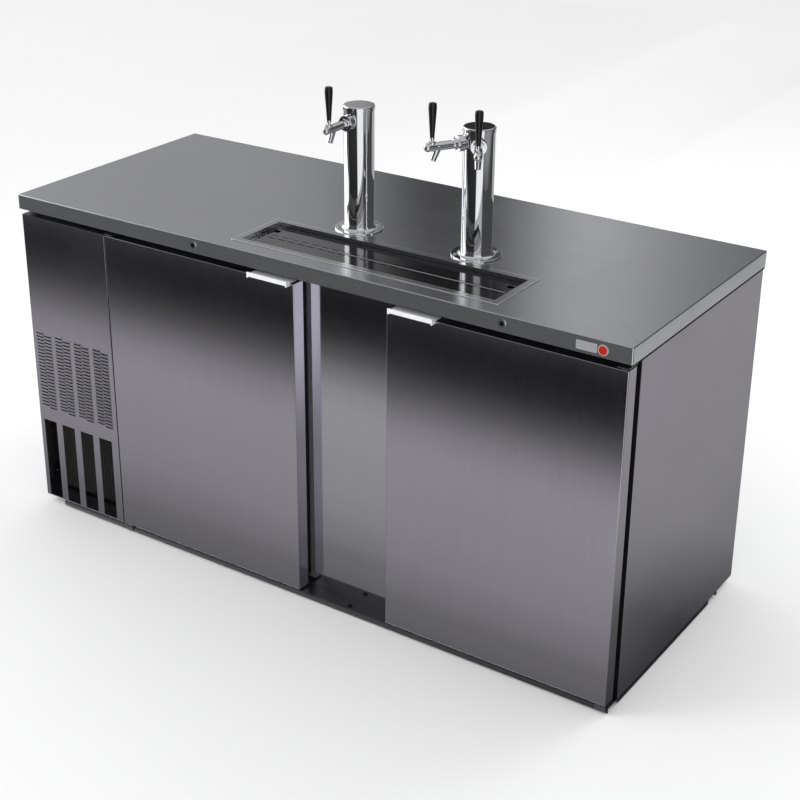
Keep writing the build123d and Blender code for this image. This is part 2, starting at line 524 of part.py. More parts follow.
for side, (hinged, way) in DOORS.items():
    pin_x = hinged + way * HINGE_IN
    outer = door_box(hinged, way, 0, 0)
    inner = outer[0] + SHEET, outer[1] - SHEET

    with BuildPart() as door_skin:
        slab(*outer, DOOR_FACE, DOOR_BACK, DOOR_BOTTOM, DOOR_TOP)
        fillet(door_skin.edges().group_by(Axis.Y)[0], 2)
        slab(*inner, DOOR_FACE + SHEET, DOOR_BACK, DOOR_BOTTOM + SHEET, DOOR_TOP - SHEET, Mode.SUBTRACT)
        upright(pin_x, HINGE_Y, DOOR_BOTTOM, DOOR_BOTTOM + SHEET, BUSH_R + FIT, Mode.SUBTRACT)
        upright(pin_x, HINGE_Y, DOOR_TOP - SHEET, DOOR_TOP, BUSH_R + FIT, Mode.SUBTRACT)
    save(door_skin, f"door_skin_{side}")

    with BuildPart() as door_core:
        slab(*inner, DOOR_FACE + SHEET, DOOR_BACK - LINER_SHEET, DOOR_BOTTOM + SHEET, DOOR_TOP - SHEET)
        for low in (DOOR_BOTTOM, DOOR_TOP - BUSH_LENGTH - 2):
            upright(pin_x, HINGE_Y, low, low + BUSH_LENGTH + 2, BUSH_R + FIT, Mode.SUBTRACT)
    save(door_core, f"door_core_{side}")

    with BuildPart() as door_liner:
        slab(*inner, DOOR_BACK - LINER_SHEET, DOOR_BACK, DOOR_BOTTOM + SHEET, DOOR_TOP - SHEET)
        dike_in = GASKET_INSET + GASKET_WIDTH + 3
        dike = door_box(hinged, way, dike_in, dike_in)
        slab(*dike, DOOR_BACK, DOOR_BACK + DIKE_HEIGHT, DOOR_BOTTOM + dike_in, DOOR_TOP - dike_in)
        chamfer(door_liner.edges().group_by(Axis.Y)[-1], DIKE_HEIGHT * 0.7)
    save(door_liner, f"door_liner_{side}")

    with BuildPart() as door_gasket:
        for inset, mode in ((GASKET_INSET, Mode.ADD), (GASKET_INSET + GASKET_WIDTH, Mode.SUBTRACT)):
            ring = door_box(hinged, way, inset, inset)
            slab(*ring, DOOR_BACK, FRAME_FACE - 0.3, DOOR_BOTTOM + inset, DOOR_TOP - inset, mode)
        fillet(door_gasket.edges().filter_by(Axis.Y).group_by(Axis.X)[0], 3)
        fillet(door_gasket.edges().filter_by(Axis.Y).group_by(Axis.X)[-1], 3)
    save(door_gasket, f"door_gasket_{side}")

    with BuildPart() as door_pull:
        pull = door_box(hinged, way, DOOR_WIDTH - PULL_IN - PULL_LENGTH, PULL_IN)
        bar_front, pull_top = FRONT - PULL_REACH, DOOR_TOP + PULL_SHEET
        bar_bottom = DOOR_TOP - PULL_SHEET
        slab(*pull, bar_front, DOOR_FACE + PULL_FOOT, DOOR_TOP, pull_top)
        slab(*pull, bar_front, bar_front + PULL_BAR_DEPTH, bar_bottom, bar_bottom + PULL_BAR)
        fillet(door_pull.edges().filter_by(Axis.X).group_by(Axis.Y)[0], 1.2)
        for end in (pull[0], pull[1] - PULL_END):
            slab(end, end + PULL_END, bar_front, DOOR_FACE, bar_bottom - PULL_END, pull_top)
    save(door_pull, f"door_pull_{side}")

    with BuildPart() as door_bushes:
        upright(pin_x, HINGE_Y, DOOR_BOTTOM, DOOR_BOTTOM + BUSH_LENGTH, BUSH_R)
        upright(pin_x, HINGE_Y, BASE_TOP + BRACKET, DOOR_BOTTOM, BUSH_R + BUSH_FLANGE)
        upright(pin_x, HINGE_Y, DOOR_TOP - BUSH_LENGTH, DOOR_TOP, BUSH_R)
        upright(pin_x, HINGE_Y, DOOR_TOP, DOOR_TOP + BUSH_FLANGE, BUSH_R + BUSH_FLANGE)
        upright(pin_x, HINGE_Y, 0, HEIGHT, PIN_R + PIN_CLEAR, Mode.SUBTRACT)
    save(door_bushes, f"door_bushes_{side}")

PLATE_OUT, PLATE_IN, FOOT_WIDTH = 12, 16, 25  # hinge plate to each side of its pin, and frame foot
PIN_IN = 16  # how far each pin reaches into its door
TOP_PLATE = DOOR_TOP + 3
with BuildPart() as hinge_brackets:
    for hinged, way in DOORS.values():
        pin_x = hinged + way * HINGE_IN
        plate = sorted((pin_x - way * PLATE_OUT, pin_x + way * PLATE_IN))
        foot = sorted((pin_x, pin_x + way * FOOT_WIDTH))
        # bottom: a plate on the sill that folds down over its front, with the pin pointing up
        slab(*plate, SILL_FRONT - BRACKET, DOOR_BACK, BASE_TOP, BASE_TOP + BRACKET)
        slab(*plate, SILL_FRONT - BRACKET, SILL_FRONT, RAIL_BOTTOM + 2, BASE_TOP)
        upright(pin_x, HINGE_Y, BASE_TOP, DOOR_BOTTOM + PIN_IN, PIN_R)
        # top: a plate out from the frame, with the pin pointing down
        slab(*plate, DOOR_FACE, FRAME_FACE - BRACKET, TOP_PLATE, TOP_PLATE + BRACKET)
        slab(*foot, FRAME_FACE - BRACKET, FRAME_FACE, TOP_PLATE, BAND_BOTTOM - 1)
        upright(pin_x, HINGE_Y, DOOR_TOP - PIN_IN, TOP_PLATE + BRACKET, PIN_R)
save(hinge_brackets, "hinge_brackets")

# ---------------------------------------------------------------- locks and badge in the worktop's edge
RING_R, RING_OUT, BARREL_LENGTH = 9.5, 2, 24
CAM_REACH, CAM_WIDTH, CAM_SHEET, KEYWAY, KEYWAY_HALF = 30, 10, 2.5, 1.6, 3.6
with BuildPart() as lock_cylinders:
    for x in LOCK_X.values():
        along_y(x, LOCK_Z, FRONT - RING_OUT, FRONT, RING_R)
        along_y(x, LOCK_Z, FRONT, FRONT + BARREL_LENGTH, LOCK_R)
        along_y(x, LOCK_Z, FRONT - RING_OUT, FRONT + BARREL_LENGTH, PLUG_R + PIN_CLEAR, Mode.SUBTRACT)
save(lock_cylinders, "lock_cylinders")

for side, x in LOCK_X.items():
    with BuildPart() as lock_plug:
        along_y(x, LOCK_Z, FRONT - 1.6, FRONT + BARREL_LENGTH + 4, PLUG_R)
        slab(
            x - KEYWAY / 2, x + KEYWAY / 2, FRONT - RING_OUT, FRONT + 6,
            LOCK_Z - KEYWAY_HALF, LOCK_Z + KEYWAY_HALF, Mode.SUBTRACT,
        )
        with BuildSketch(Plane.XZ.offset(-FRONT - BARREL_LENGTH - 1)):
            with Locations((x + (CAM_REACH - CAM_WIDTH) / 2, LOCK_Z)):
                SlotOverall(CAM_REACH + CAM_WIDTH, CAM_WIDTH)
        extrude(amount=-CAM_SHEET)
    save(lock_plug, f"lock_plug_{side}")

BADGE_X, BADGE_Z, BADGE_LENGTH, BADGE_HEIGHT, BADGE_SHEET = RIGHT - 110, HEIGHT - 22, 50, 21, 1.2
DISC_X, DISC_R, DISC_OUT = RIGHT - 70, 12.5, 2
with BuildPart() as badge:
    with BuildSketch(Plane.XZ.offset(-FRONT)):
        with Locations((BADGE_X, BADGE_Z)):
            RectangleRounded(BADGE_LENGTH, BADGE_HEIGHT, 2)
    extrude(amount=BADGE_SHEET)
    along_y(DISC_X, BADGE_Z, FRONT - DISC_OUT, FRONT, DISC_R)
    chamfer(badge.edges().group_by(Axis.Y)[0], 0.4)
save(badge, "badge")

# ---------------------------------------------------------------- compressor compartment
COMP_X, COMP_Y, COMP_R, COMP_HEIGHT = (IN_LEFT + PARTITION) / 2 - 10, FRONT + 450, 82, 190
COMP_SHEET, COMP_FOOT_R, COMP_FOOT_HEIGHT = 3, 12, 20
COMP_BASE = FLOOR_TOP + 15  # underside of the can
TERMINALS = (60, COMP_R + 22, 30, COMP_BASE + 45, COMP_BASE + 115)  # x out, half width, z range
with BuildPart() as compressor:
    slab(COMP_X - 100, COMP_X + 100, COMP_Y - 75, COMP_Y + 75, COMP_BASE - COMP_SHEET, COMP_BASE)
    upright(COMP_X, COMP_Y, COMP_BASE, COMP_BASE + COMP_HEIGHT, COMP_R)
    fillet(compressor.edges().filter_by(GeomType.CIRCLE).group_by(Axis.Z)[-1], COMP_R * 0.55)
    # welded seam round the can, then the terminal cover and the rubber feet
    upright(COMP_X, COMP_Y, COMP_BASE + 77, COMP_BASE + 83, COMP_R + COMP_SHEET)
    near, far, half, low, high = TERMINALS
    slab(COMP_X + near, COMP_X + far, COMP_Y - half, COMP_Y + half, low, high)
    with Locations((COMP_X, COMP_Y, FLOOR_TOP + COMP_FOOT_HEIGHT / 2)):
        with GridLocations(170, 120, 2, 2):
            Cylinder(COMP_FOOT_R, COMP_FOOT_HEIGHT)
save(compressor, "compressor")

COIL_LEFT, COIL_RIGHT = IN_LEFT + 14, PARTITION - 14
COIL_FRONT, COIL_BACK = FRAME_FACE + 10, FRAME_FACE + 52
COIL_BOTTOM, COIL_TOP = FLOOR_TOP + 10, FLOOR_TOP + 300


def finned_coil(x0, x1, y0, y1, z0, z1, fin_step, tube_rows, tube_r):
    """Straight tubes through a row of fins, closed by an end plate on each side."""
    fin_half, plate, plate_over, tube_over = 0.5, 1.5, 6, 5
    fins = int((x1 - x0) / fin_step)
    first = (x0 + x1) / 2 - (fins - 1) * fin_step / 2
    for fin in range(fins):
        x = first + fin * fin_step
        slab(x - fin_half, x + fin_half, y0, y1, z0, z1)
    slab(x0, x0 + plate, y0, y1, z0 - plate_over, z1 + plate_over)
    slab(x1 - plate, x1, y0, y1, z0 - plate_over, z1 + plate_over)
    step = (z1 - z0) / tube_rows
    for row in range(tube_rows):
        for y in (y0 + (y1 - y0) * 0.28, y0 + (y1 - y0) * 0.72):
            along_x(y, z0 + step * (row + 0.5), x0 - tube_over, x1 + tube_over, tube_r)


with BuildPart() as condenser_coil:
    finned_coil(COIL_LEFT, COIL_RIGHT, COIL_FRONT, COIL_BACK, COIL_BOTTOM, COIL_TOP, 9, 7, 5)
save(condenser_coil, "condenser_coil")

FAN_X, FAN_Z, FAN_R = (COIL_LEFT + COIL_RIGHT) / 2, (COIL_BOTTOM + COIL_TOP) / 2, 98
SHROUD_FRONT = COIL_BACK + 1
SHROUD_DEPTH, SHROUD_SHEET, SHROUD_RING = 34, 1.5, 2
ARM_X, ARM_HALF, ARM_WIDTH, ARM_FRONT, ARM_BACK = 118, 8, 10, SHROUD_FRONT + 49, SHROUD_FRONT + 52
with BuildPart() as fan_shroud:
    shroud_back = SHROUD_FRONT + SHROUD_DEPTH
    slab(
        COIL_LEFT, COIL_RIGHT, SHROUD_FRONT, SHROUD_FRONT + SHROUD_SHEET,
        COIL_BOTTOM - 10, COIL_TOP + 6,
    )
    along_y(FAN_X, FAN_Z, SHROUD_FRONT, shroud_back, FAN_R + 6 + SHROUD_RING)
    along_y(FAN_X, FAN_Z, SHROUD_FRONT, shroud_back, FAN_R + 6, Mode.SUBTRACT)
    # motor bracket: two legs, a cross bar and a ring that the motor stands on
    for side in (-1, 1):
        x = FAN_X + side * ARM_X
        slab(
            x - ARM_HALF, x + ARM_HALF, SHROUD_FRONT + SHROUD_SHEET, ARM_BACK,
            FAN_Z - ARM_WIDTH, FAN_Z + ARM_WIDTH,
        )
    reach = ARM_X + ARM_HALF
    slab(FAN_X - reach, FAN_X + reach, ARM_FRONT, ARM_BACK, FAN_Z - ARM_WIDTH, FAN_Z + ARM_WIDTH)
    along_y(FAN_X, FAN_Z, ARM_FRONT, ARM_BACK, 34)
    along_y(FAN_X, FAN_Z, ARM_FRONT, ARM_BACK, 12, Mode.SUBTRACT)
save(fan_shroud, "fan_shroud")


def fan_rotor(hub_plane, hub_r, tip_r, blades, bore, depth):
    """Hub and pitched blades about local z, with a bore for the motor's shaft."""
    pitch, blade_sheet = 28, 1.6
    with BuildPart(hub_plane) as rotor:
        Cylinder(hub_r, depth)
        with PolarLocations((hub_r + tip_r) / 2 - 1, blades):
            Box(tip_r - hub_r + 2, tip_r * 0.62, blade_sheet, rotation=(pitch, 0, 0))
        Cylinder(bore, depth * 3, mode=Mode.SUBTRACT)
    return rotor


SHAFT_R, SMALL_SHAFT_R = 4, 3
HUB_MIDDLE = SHROUD_FRONT + 24
condenser_hub = Plane(origin=(FAN_X, HUB_MIDDLE, FAN_Z), x_dir=(1, 0, 0), z_dir=(0, -1, 0))
save(fan_rotor(condenser_hub, 18, FAN_R - 6, 5, SHAFT_R + PIN_CLEAR, 20), "condenser_fan_blade")

# evaporator on the keg space's left wall, with its own fan blowing to the right
EVAP_LEFT, EVAP_RIGHT = CAVITY_LEFT + LINER, CAVITY_LEFT + 92
EVAP_FRONT, EVAP_BACK = FRONT + 180, FRONT + 640
EVAP_BOTTOM, EVAP_TOP = CAVITY_TOP - 330, CAVITY_TOP - 6
EVAP_FAN_Y, EVAP_FAN_Z, EVAP_FAN_R = FRONT + 430, CAVITY_TOP - 168, 84
KNOB_X, KNOB_Y, KNOB_Z, KNOB_R = EVAP_LEFT + 45, EVAP_FRONT, EVAP_TOP - 60, 18
with BuildPart() as evaporator_housing:
    slab(EVAP_LEFT, EVAP_RIGHT, EVAP_FRONT, EVAP_BACK, EVAP_BOTTOM, EVAP_TOP)
    fillet(evaporator_housing.edges().group_by(Axis.X)[-1], 2.5)
    slab(
        EVAP_LEFT, EVAP_RIGHT - SHEET, EVAP_FRONT + SHEET, EVAP_BACK - SHEET,
        EVAP_BOTTOM + SHEET, EVAP_TOP - SHEET, Mode.SUBTRACT,
    )
    along_x(EVAP_FAN_Y, EVAP_FAN_Z, EVAP_RIGHT - 8, EVAP_RIGHT, EVAP_FAN_R + 4, Mode.SUBTRACT)
    with BuildSketch(Plane.XY.offset(EVAP_BOTTOM)):
        with Locations(((EVAP_LEFT + EVAP_RIGHT) / 2, (EVAP_FRONT + EVAP_BACK) / 2)):
            with GridLocations(1, 16, 1, 22):
                SlotOverall(56, 7)
    extrude(amount=2 * SHEET, mode=Mode.SUBTRACT)
    # thermostat dial's post on the front end
    along_y(KNOB_X, KNOB_Z, EVAP_FRONT - 10, EVAP_FRONT + SHEET, SMALL_SHAFT_R)
save(evaporator_housing, "evaporator_housing")

with BuildPart(mode=Mode.PRIVATE) as coil_block:
    finned_coil(0, 400, 0, 34, 0, 280, 10, 7, 4)
with BuildPart() as evaporator_coil:
    add(coil_block.part.moved(Location((EVAP_LEFT + 38, EVAP_FRONT + 30, EVAP_BOTTOM + 20), (0, 0, 90))))
save(evaporator_coil, "evaporator_coil")

evaporator_hub = Plane(
    origin=(EVAP_RIGHT - 16, EVAP_FAN_Y, EVAP_FAN_Z), x_dir=(0, 1, 0), z_dir=(1, 0, 0)
)
save(fan_rotor(evaporator_hub, 12, EVAP_FAN_R - 6, 5, SMALL_SHAFT_R + PIN_CLEAR, 12), "evaporator_fan_blade")

MOTOR_R, MOTOR_LENGTH, SMALL_MOTOR_R = 36, 62, 22
SMALL_MOTOR_FRONT = EVAP_RIGHT - 31
with BuildPart() as fan_motors:
    # condenser fan motor, held by the shroud's bracket
    along_y(FAN_X, FAN_Z, ARM_BACK, ARM_BACK + MOTOR_LENGTH, MOTOR_R)
    fillet(fan_motors.edges().group_by(Axis.Y)[-1], 6)
    along_y(FAN_X, FAN_Z, SHROUD_FRONT + 12, ARM_BACK, SHAFT_R)
    # evaporator fan motor, on a bar across the housing
    bar_left = EVAP_LEFT + 40
    along_x(EVAP_FAN_Y, EVAP_FAN_Z, bar_left, SMALL_MOTOR_FRONT, SMALL_MOTOR_R)
    along_x(EVAP_FAN_Y, EVAP_FAN_Z, SMALL_MOTOR_FRONT, EVAP_RIGHT - 9, SMALL_SHAFT_R)
    slab(
        bar_left, bar_left + 3, EVAP_FRONT + SHEET, EVAP_BACK - SHEET,
        EVAP_FAN_Z - 9, EVAP_FAN_Z + 9,
    )
save(fan_motors, "fan_motors")

KNOB_DEPTH, POINTER = 21, 6
with BuildPart() as thermostat_knob:
    knob_face = KNOB_Y - 1 - KNOB_DEPTH
    along_y(KNOB_X, KNOB_Z, knob_face, KNOB_Y - 1, KNOB_R)
    fillet(thermostat_knob.edges().group_by(Axis.Y)[0], 2)
    slab(
        KNOB_X - POINTER / 2, KNOB_X + POINTER / 2, knob_face - 4, knob_face + 2,
        KNOB_Z - 14, KNOB_Z + 16,
    )
    along_y(KNOB_X, KNOB_Z, KNOB_Y - 12, KNOB_Y, SMALL_SHAFT_R + PIN_CLEAR, Mode.SUBTRACT)
save(thermostat_knob, "thermostat_knob")

SUCTION_R, LIQUID_R, BEND_R = 5, 3, 18
discharge_x, discharge_z = COMP_X - 40, 360
suction_x, suction_z = PARTITION - 60, 420
liquid_x, liquid_z = PARTITION - 22, 380
coil_top_y = COIL_BACK - 12
can_top = COMP_BASE + COMP_HEIGHT + 9.8
RUN_BACK = COIL_BACK + 110
DRIER_R, DRIER_LENGTH = 13, 100
line_end = EVAP_LEFT + 3
REFRIGERANT_RUNS = (
    # discharge: compressor to the top of the condenser
    (SUCTION_R, (
        (discharge_x, COMP_Y, can_top),
        (discharge_x, COMP_Y, discharge_z),
        (discharge_x, RUN_BACK, discharge_z),
        (COIL_LEFT + 6, RUN_BACK, discharge_z),
        (COIL_LEFT + 6, coil_top_y, discharge_z),
        (COIL_LEFT + 6, coil_top_y, COIL_TOP + 6),
    )),
    # suction: out of the box through the upper hole and down to the compressor
    (SUCTION_R, (
        (line_end, LINE_Y, LINE_Z[1]),
        (suction_x, LINE_Y, LINE_Z[1]),
        (suction_x, LINE_Y, suction_z),
        (suction_x, COMP_Y, suction_z),
        (COMP_X + 40, COMP_Y, suction_z),
        (COMP_X + 40, COMP_Y, can_top),
    )),
    # liquid: condenser to the evaporator through the lower hole, with the drier on its way up
    (LIQUID_R, (
        (liquid_x, coil_top_y, COIL_TOP + 6),
        (liquid_x, coil_top_y, liquid_z),
        (liquid_x, LINE_Y, liquid_z),
        (liquid_x, LINE_Y, LINE_Z[0]),
        (line_end, LINE_Y, LINE_Z[0]),
    )),
)
with BuildPart() as refrigerant_lines:
    for radius, route in REFRIGERANT_RUNS:
        with BuildLine() as line_path:
            FilletPolyline(*route, radius=BEND_R)
        with BuildSketch(Plane(origin=line_path.line @ 0, z_dir=line_path.line % 0)):
            Circle(radius)
        sweep(path=line_path.line)
    upright(liquid_x, LINE_Y, liquid_z + 50, liquid_z + 50 + DRIER_LENGTH, DRIER_R)
save(refrigerant_lines, "refrigerant_lines")

with BuildPart() as electrical_box:
    box = (PARTITION - 70, PARTITION, FRAME_FACE + 40, FRAME_FACE + 170, 640, 800)
    slab(*box)
    lip = 3  # its lid stands this far past the box all round
    slab(box[0] - 2, box[0], box[2] - lip, box[3] + lip, box[4] - lip, box[5] + lip)
    fillet(electrical_box.edges().group_by(Axis.X)[0], 1.5)
save(electrical_box, "electrical_box")

# ---------------------------------------------------------------- towers
with BuildPart() as tower_columns:
    for x in TOWERS:
        upright(x, TOWER_Y, HEIGHT, HEIGHT + COLUMN_HEIGHT, COLUMN_R)
        upright(x, TOWER_Y, HEIGHT, HEIGHT + COLUMN_HEIGHT, COLUMN_R - COLUMN_WALL, Mode.SUBTRACT)
    for name in TAPS:
        with Locations(tap_plane(name)):
            with Locations((COLUMN_R, 0, 0)):
                Cylinder(SHANK_R + 0.3, 20, rotation=(0, 90, 0), mode=Mode.SUBTRACT)
save(tower_columns, "tower_columns")

with BuildPart() as tower_flanges:
    for x in TOWERS:
        with BuildSketch(Plane(origin=(x, TOWER_Y, HEIGHT), x_dir=(1, 0, 0), z_dir=(0, -1, 0))):
            with BuildLine():
                inner_r = COLUMN_R + FIT
                foot = Line((inner_r, 0), (FLANGE_R, 0))
                rim = Line(foot @ 1, (FLANGE_R, 2.5))
                lip = JernArc(rim @ 1, (0, 1), 1.5, 90)
                top = Line(lip @ 1, (inner_r + 9, 4))
                flare = RadiusArc(top @ 1, (inner_r + 2.5, 10.5), 7)
                crown = Line(flare @ 1, (inner_r, 10.5))
                Line(crown @ 1, foot @ 0)
            make_face()
        revolve(axis=Axis((x, TOWER_Y, 0), (0, 0, 1)))
    for x, y in tower_screw_places():
        upright(x, y, HEIGHT, HEIGHT + 8, SCREW_R + FIT, Mode.SUBTRACT)
save(tower_flanges, "tower_flanges")

CAP_PLUG = 9
with BuildPart() as tower_caps:
    for x in TOWERS:
        cap_bottom = HEIGHT + COLUMN_HEIGHT
        upright(x, TOWER_Y, cap_bottom, cap_bottom + CAP_HEIGHT, CAP_R)
        upright(x, TOWER_Y, cap_bottom - CAP_PLUG, cap_bottom, COLUMN_R - COLUMN_WALL - FIT)
        upright(x, TOWER_Y, cap_bottom - CAP_PLUG, cap_bottom + 8, COLUMN_R - 6, Mode.SUBTRACT)
    fillet(tower_caps.edges().group_by(Axis.Z)[-1], 3.5)
save(tower_caps, "tower_caps")

SHANK_IN, COLLAR_IN, COLLAR_OUT = 25, 39.5, 62
NUT_R, WASHER_R, WASHER, COUPLING_R, COUPLING_LENGTH = 12.5, 17, 3, 19, 15
with BuildPart() as faucet_shanks:
    for name in TAPS:
        with Locations(tap_plane(name)):
            with Locations(((SHANK_IN + COLLAR_OUT) / 2, 0, 0)):
                Cylinder(SHANK_R, COLLAR_OUT - SHANK_IN, rotation=(0, 90, 0))
            # nut inside the column, washer outside it, and the coupling nut's two steps
            with Locations((SHANK_IN + 5.5, 0, 0)):
                Cylinder(NUT_R, 7, rotation=(0, 90, 0))
            with Locations((COLLAR_IN + WASHER / 2, 0, 0)):
                Cylinder(WASHER_R, WASHER, rotation=(0, 90, 0))
            with Locations((COLLAR_IN + 12, 0, 0)):
                Cylinder(COUPLING_R, COUPLING_LENGTH, rotation=(0, 90, 0))
            with Locations(((SHANK_IN + COLLAR_OUT) / 2, 0, 0)):
                Cylinder(SHANK_BORE, COLLAR_OUT - SHANK_IN, rotation=(0, 90, 0), mode=Mode.SUBTRACT)
            with Locations((COLLAR_IN + 12, 0, 0)):
                with PolarLocations(COUPLING_R + CLEAR, 6):  # spanner notches
                    Cylinder(1.6, 6, rotation=(0, 90, 0), mode=Mode.SUBTRACT)
save(faucet_shanks, "faucet_shanks")

BARREL_R, BARREL_BORE, BORE_END, NOSE = 10.5, 6.0, 132, 136
BALL_R, SEAT_R, BONNET_R = 4.8, 6.0, 8.5
SPOUT_OUT, SPOUT_TILT, SPOUT_LENGTH, SPOUT_R, SPOUT_TOP_R, SPOUT_BORE = 110, 24, 30, 7, 9, 5
with BuildPart() as faucet_bodies:
    for name in TAPS:
        with Locations(tap_plane(name)):
            with Locations(((COLLAR_OUT + NOSE) / 2, 0, 0)):
                Cylinder(BARREL_R, NOSE - COLLAR_OUT, rotation=(0, 90, 0))
            with Locations((COLLAR_OUT + 4, 0, 0)):
                Cylinder(14, 8, rotation=(0, 90, 0))
            with Locations((NOSE, 0, 0)):
                Sphere(BARREL_R)
            with Locations((LEVER_OUT, 0, PIVOT_UP / 2)):
                Cylinder(BONNET_R, PIVOT_UP + 3)
            # spout, leaning outward as it goes down
            with Locations(Location((SPOUT_OUT, 0, -4), (0, -SPOUT_TILT, 0))):
                with Locations((0, 0, -17)):
                    Cone(SPOUT_R, SPOUT_TOP_R, SPOUT_LENGTH)
                    Cylinder(SPOUT_BORE, SPOUT_LENGTH + 10, mode=Mode.SUBTRACT)
            # valve bore along the barrel, lever seat down from the bonnet
            with Locations(((COLLAR_OUT + BORE_END) / 2, 0, 0)):
                Cylinder(BARREL_BORE, BORE_END - COLLAR_OUT, rotation=(0, 90, 0), mode=Mode.SUBTRACT)
            with Locations((LEVER_OUT, 0, PIVOT_UP)):
                Cylinder(SEAT_R, 2 * PIVOT_UP, mode=Mode.SUBTRACT)
save(faucet_bodies, "faucet_bodies")

TAIL_DOWN, TAIL_R, TAIL_TIP_R = 11, 1.5, 1.8
FERRULE_R, FERRULE_LOW, FERRULE_HIGH = 6.0, 7.5, 13.5
HANDLE_LOW_R, HANDLE_TOP_R, HANDLE_LENGTH = 5.4, 10.0, 81
BLOCK_R, BLOCK_BACK, BLOCK_FRONT, SHAFT_SLOT = 5.2, -8.5, 6.5, 11
ROD_R, ROD_MIDDLE, ROD_LENGTH, SEAL_R, SEAL_AT = 3, 98, 40, 5.5, 80
for name in TAPS:
    with BuildPart() as tap_lever:
        with Locations(tap_plane(name, PIVOT_UP)):
            with Locations((LEVER_OUT, 0, 0)):
                Sphere(BALL_R)
            with Locations((LEVER_OUT, 0, FERRULE_LOW / 2)):
                Cylinder(3.5, FERRULE_LOW)
            with Locations((LEVER_OUT, 0, (FERRULE_LOW + FERRULE_HIGH) / 2)):
                Cone(FERRULE_R - 0.6, FERRULE_R, FERRULE_HIGH - FERRULE_LOW)
            with Locations((LEVER_OUT, 0, -TAIL_DOWN / 2)):
                Cylinder(TAIL_R, TAIL_DOWN)
            with Locations((LEVER_OUT, 0, -TAIL_DOWN)):
                Sphere(TAIL_TIP_R)
    save(tap_lever, f"tap_lever_{name}")

    with BuildPart() as tap_handle:
        foot = tap_plane(name, PIVOT_UP + FERRULE_HIGH)
        with BuildSketch(Plane(origin=foot.origin, x_dir=foot.x_dir, z_dir=-foot.y_dir)):
            with BuildLine():
                base = Line((LEVER_OUT, 0), (LEVER_OUT + HANDLE_LOW_R, 0))
                flank = Line(base @ 1, (LEVER_OUT + HANDLE_TOP_R, HANDLE_LENGTH - 12))
                shoulder = Line(flank @ 1, (LEVER_OUT + HANDLE_TOP_R - 0.4, HANDLE_LENGTH - 3))
                corner = RadiusArc(shoulder @ 1, (LEVER_OUT + HANDLE_TOP_R - 3.4, HANDLE_LENGTH), -3.2)
                crown = Line(corner @ 1, (LEVER_OUT, HANDLE_LENGTH))
                Line(crown @ 1, base @ 0)
            make_face()
        centre = foot.from_local_coords((LEVER_OUT, 0, 0))
        revolve(axis=Axis(centre, (0, 0, 1)))
    save(tap_handle, f"tap_handle_{name}")

    with BuildPart() as tap_valve:
        with Locations(tap_plane(name)):
            # rod, seal disc at its inner end, and the slotted block that the lever's tail stands in
            with Locations((ROD_MIDDLE, 0, 0)):
                Cylinder(ROD_R, ROD_LENGTH, rotation=(0, 90, 0))
            with Locations((SEAL_AT, 0, 0)):
                Cylinder(SEAL_R, 5, rotation=(0, 90, 0))
            with Locations((LEVER_OUT + (BLOCK_BACK + BLOCK_FRONT) / 2, 0, 0)):
                Cylinder(BLOCK_R, BLOCK_FRONT - BLOCK_BACK, rotation=(0, 90, 0))
            with Locations((LEVER_OUT, 0, 1.5)):
                Box(SHAFT_SLOT, 6, 9, mode=Mode.SUBTRACT)
    save(tap_valve, f"tap_valve_{name}")

TUBE_R, TUBE_WALL, TUBE_BEND, TUBE_OUT, TUBE_DOWN = 3.1, 0.8, 10, 14, 500
with BuildPart() as beer_tubes:
    for name in TAPS:
        at = tap_plane(name)
        route = ((SHANK_IN + 6, 0, 0), (TUBE_OUT, 0, 0), (TUBE_OUT, 0, -TUBE_DOWN))
        points = [at.from_local_coords(p) for p in route]
        with BuildLine() as tube_path:
            FilletPolyline(*points, radius=TUBE_BEND)
        with BuildSketch(Plane(origin=tube_path.line @ 0, z_dir=tube_path.line % 0)):
            Circle(TUBE_R)
            Circle(TUBE_R - TUBE_WALL, mode=Mode.SUBTRACT)
        sweep(path=tube_path.line)
save(beer_tubes, "beer_tubes")

# ---------------------------------------------------------------- small fasteners and rear bushes
SCREW_HEAD, SILL_HEAD_R, TOWER_FLANGE = 2.4, 6, 4
with BuildPart() as screws:
    for x, y in tower_screw_places():
        seat = HEIGHT + TOWER_FLANGE
        upright(x, y, seat, seat + SCREW_HEAD, SCREW_HEAD_R)
        upright(x, y, HEIGHT - 14, seat, SCREW_R)
    upright(SILL_SCREW_X, SILL_SCREW_Y, BASE_TOP, BASE_TOP + SCREW_HEAD, SILL_HEAD_R)
    upright(SILL_SCREW_X, SILL_SCREW_Y, BASE_TOP - 10, BASE_TOP, SCREW_R)
    for z in COVER_SCREW_Z:
        along_x(COVER_SCREW_Y, z, GRILLE_LEFT - SCREW_HEAD, GRILLE_LEFT, SCREW_HEAD_R)
        along_x(COVER_SCREW_Y, z, GRILLE_LEFT, GRILLE_LEFT + 8, SCREW_R)
save(screws, "screws")

CORD_BUSH_LENGTH = 14
with BuildPart() as rear_bushes:
    flange_front = PANEL_BACK - SHEET
    along_y(GAS_X, GAS_Z, CAVITY_BACK - LINER - 4, flange_front, GAS_R + BUSH_WALL)
    along_y(GAS_X, GAS_Z, flange_front, PANEL_BACK, GAS_R + 2 * BUSH_WALL + 1)
    along_y(GAS_X, GAS_Z, CAVITY_BACK - 10, PANEL_BACK, GAS_R, Mode.SUBTRACT)
    along_y(CORD_X, CORD_Z, PANEL_BACK - CORD_BUSH_LENGTH, flange_front, CORD_R + BUSH_WALL)
    along_y(CORD_X, CORD_Z, flange_front, PANEL_BACK, CORD_R + 2 * BUSH_WALL + 1)
    along_y(CORD_X, CORD_Z, PANEL_BACK - CORD_BUSH_LENGTH, PANEL_BACK, CORD_R, Mode.SUBTRACT)
save(rear_bushes, "rear_bushes")
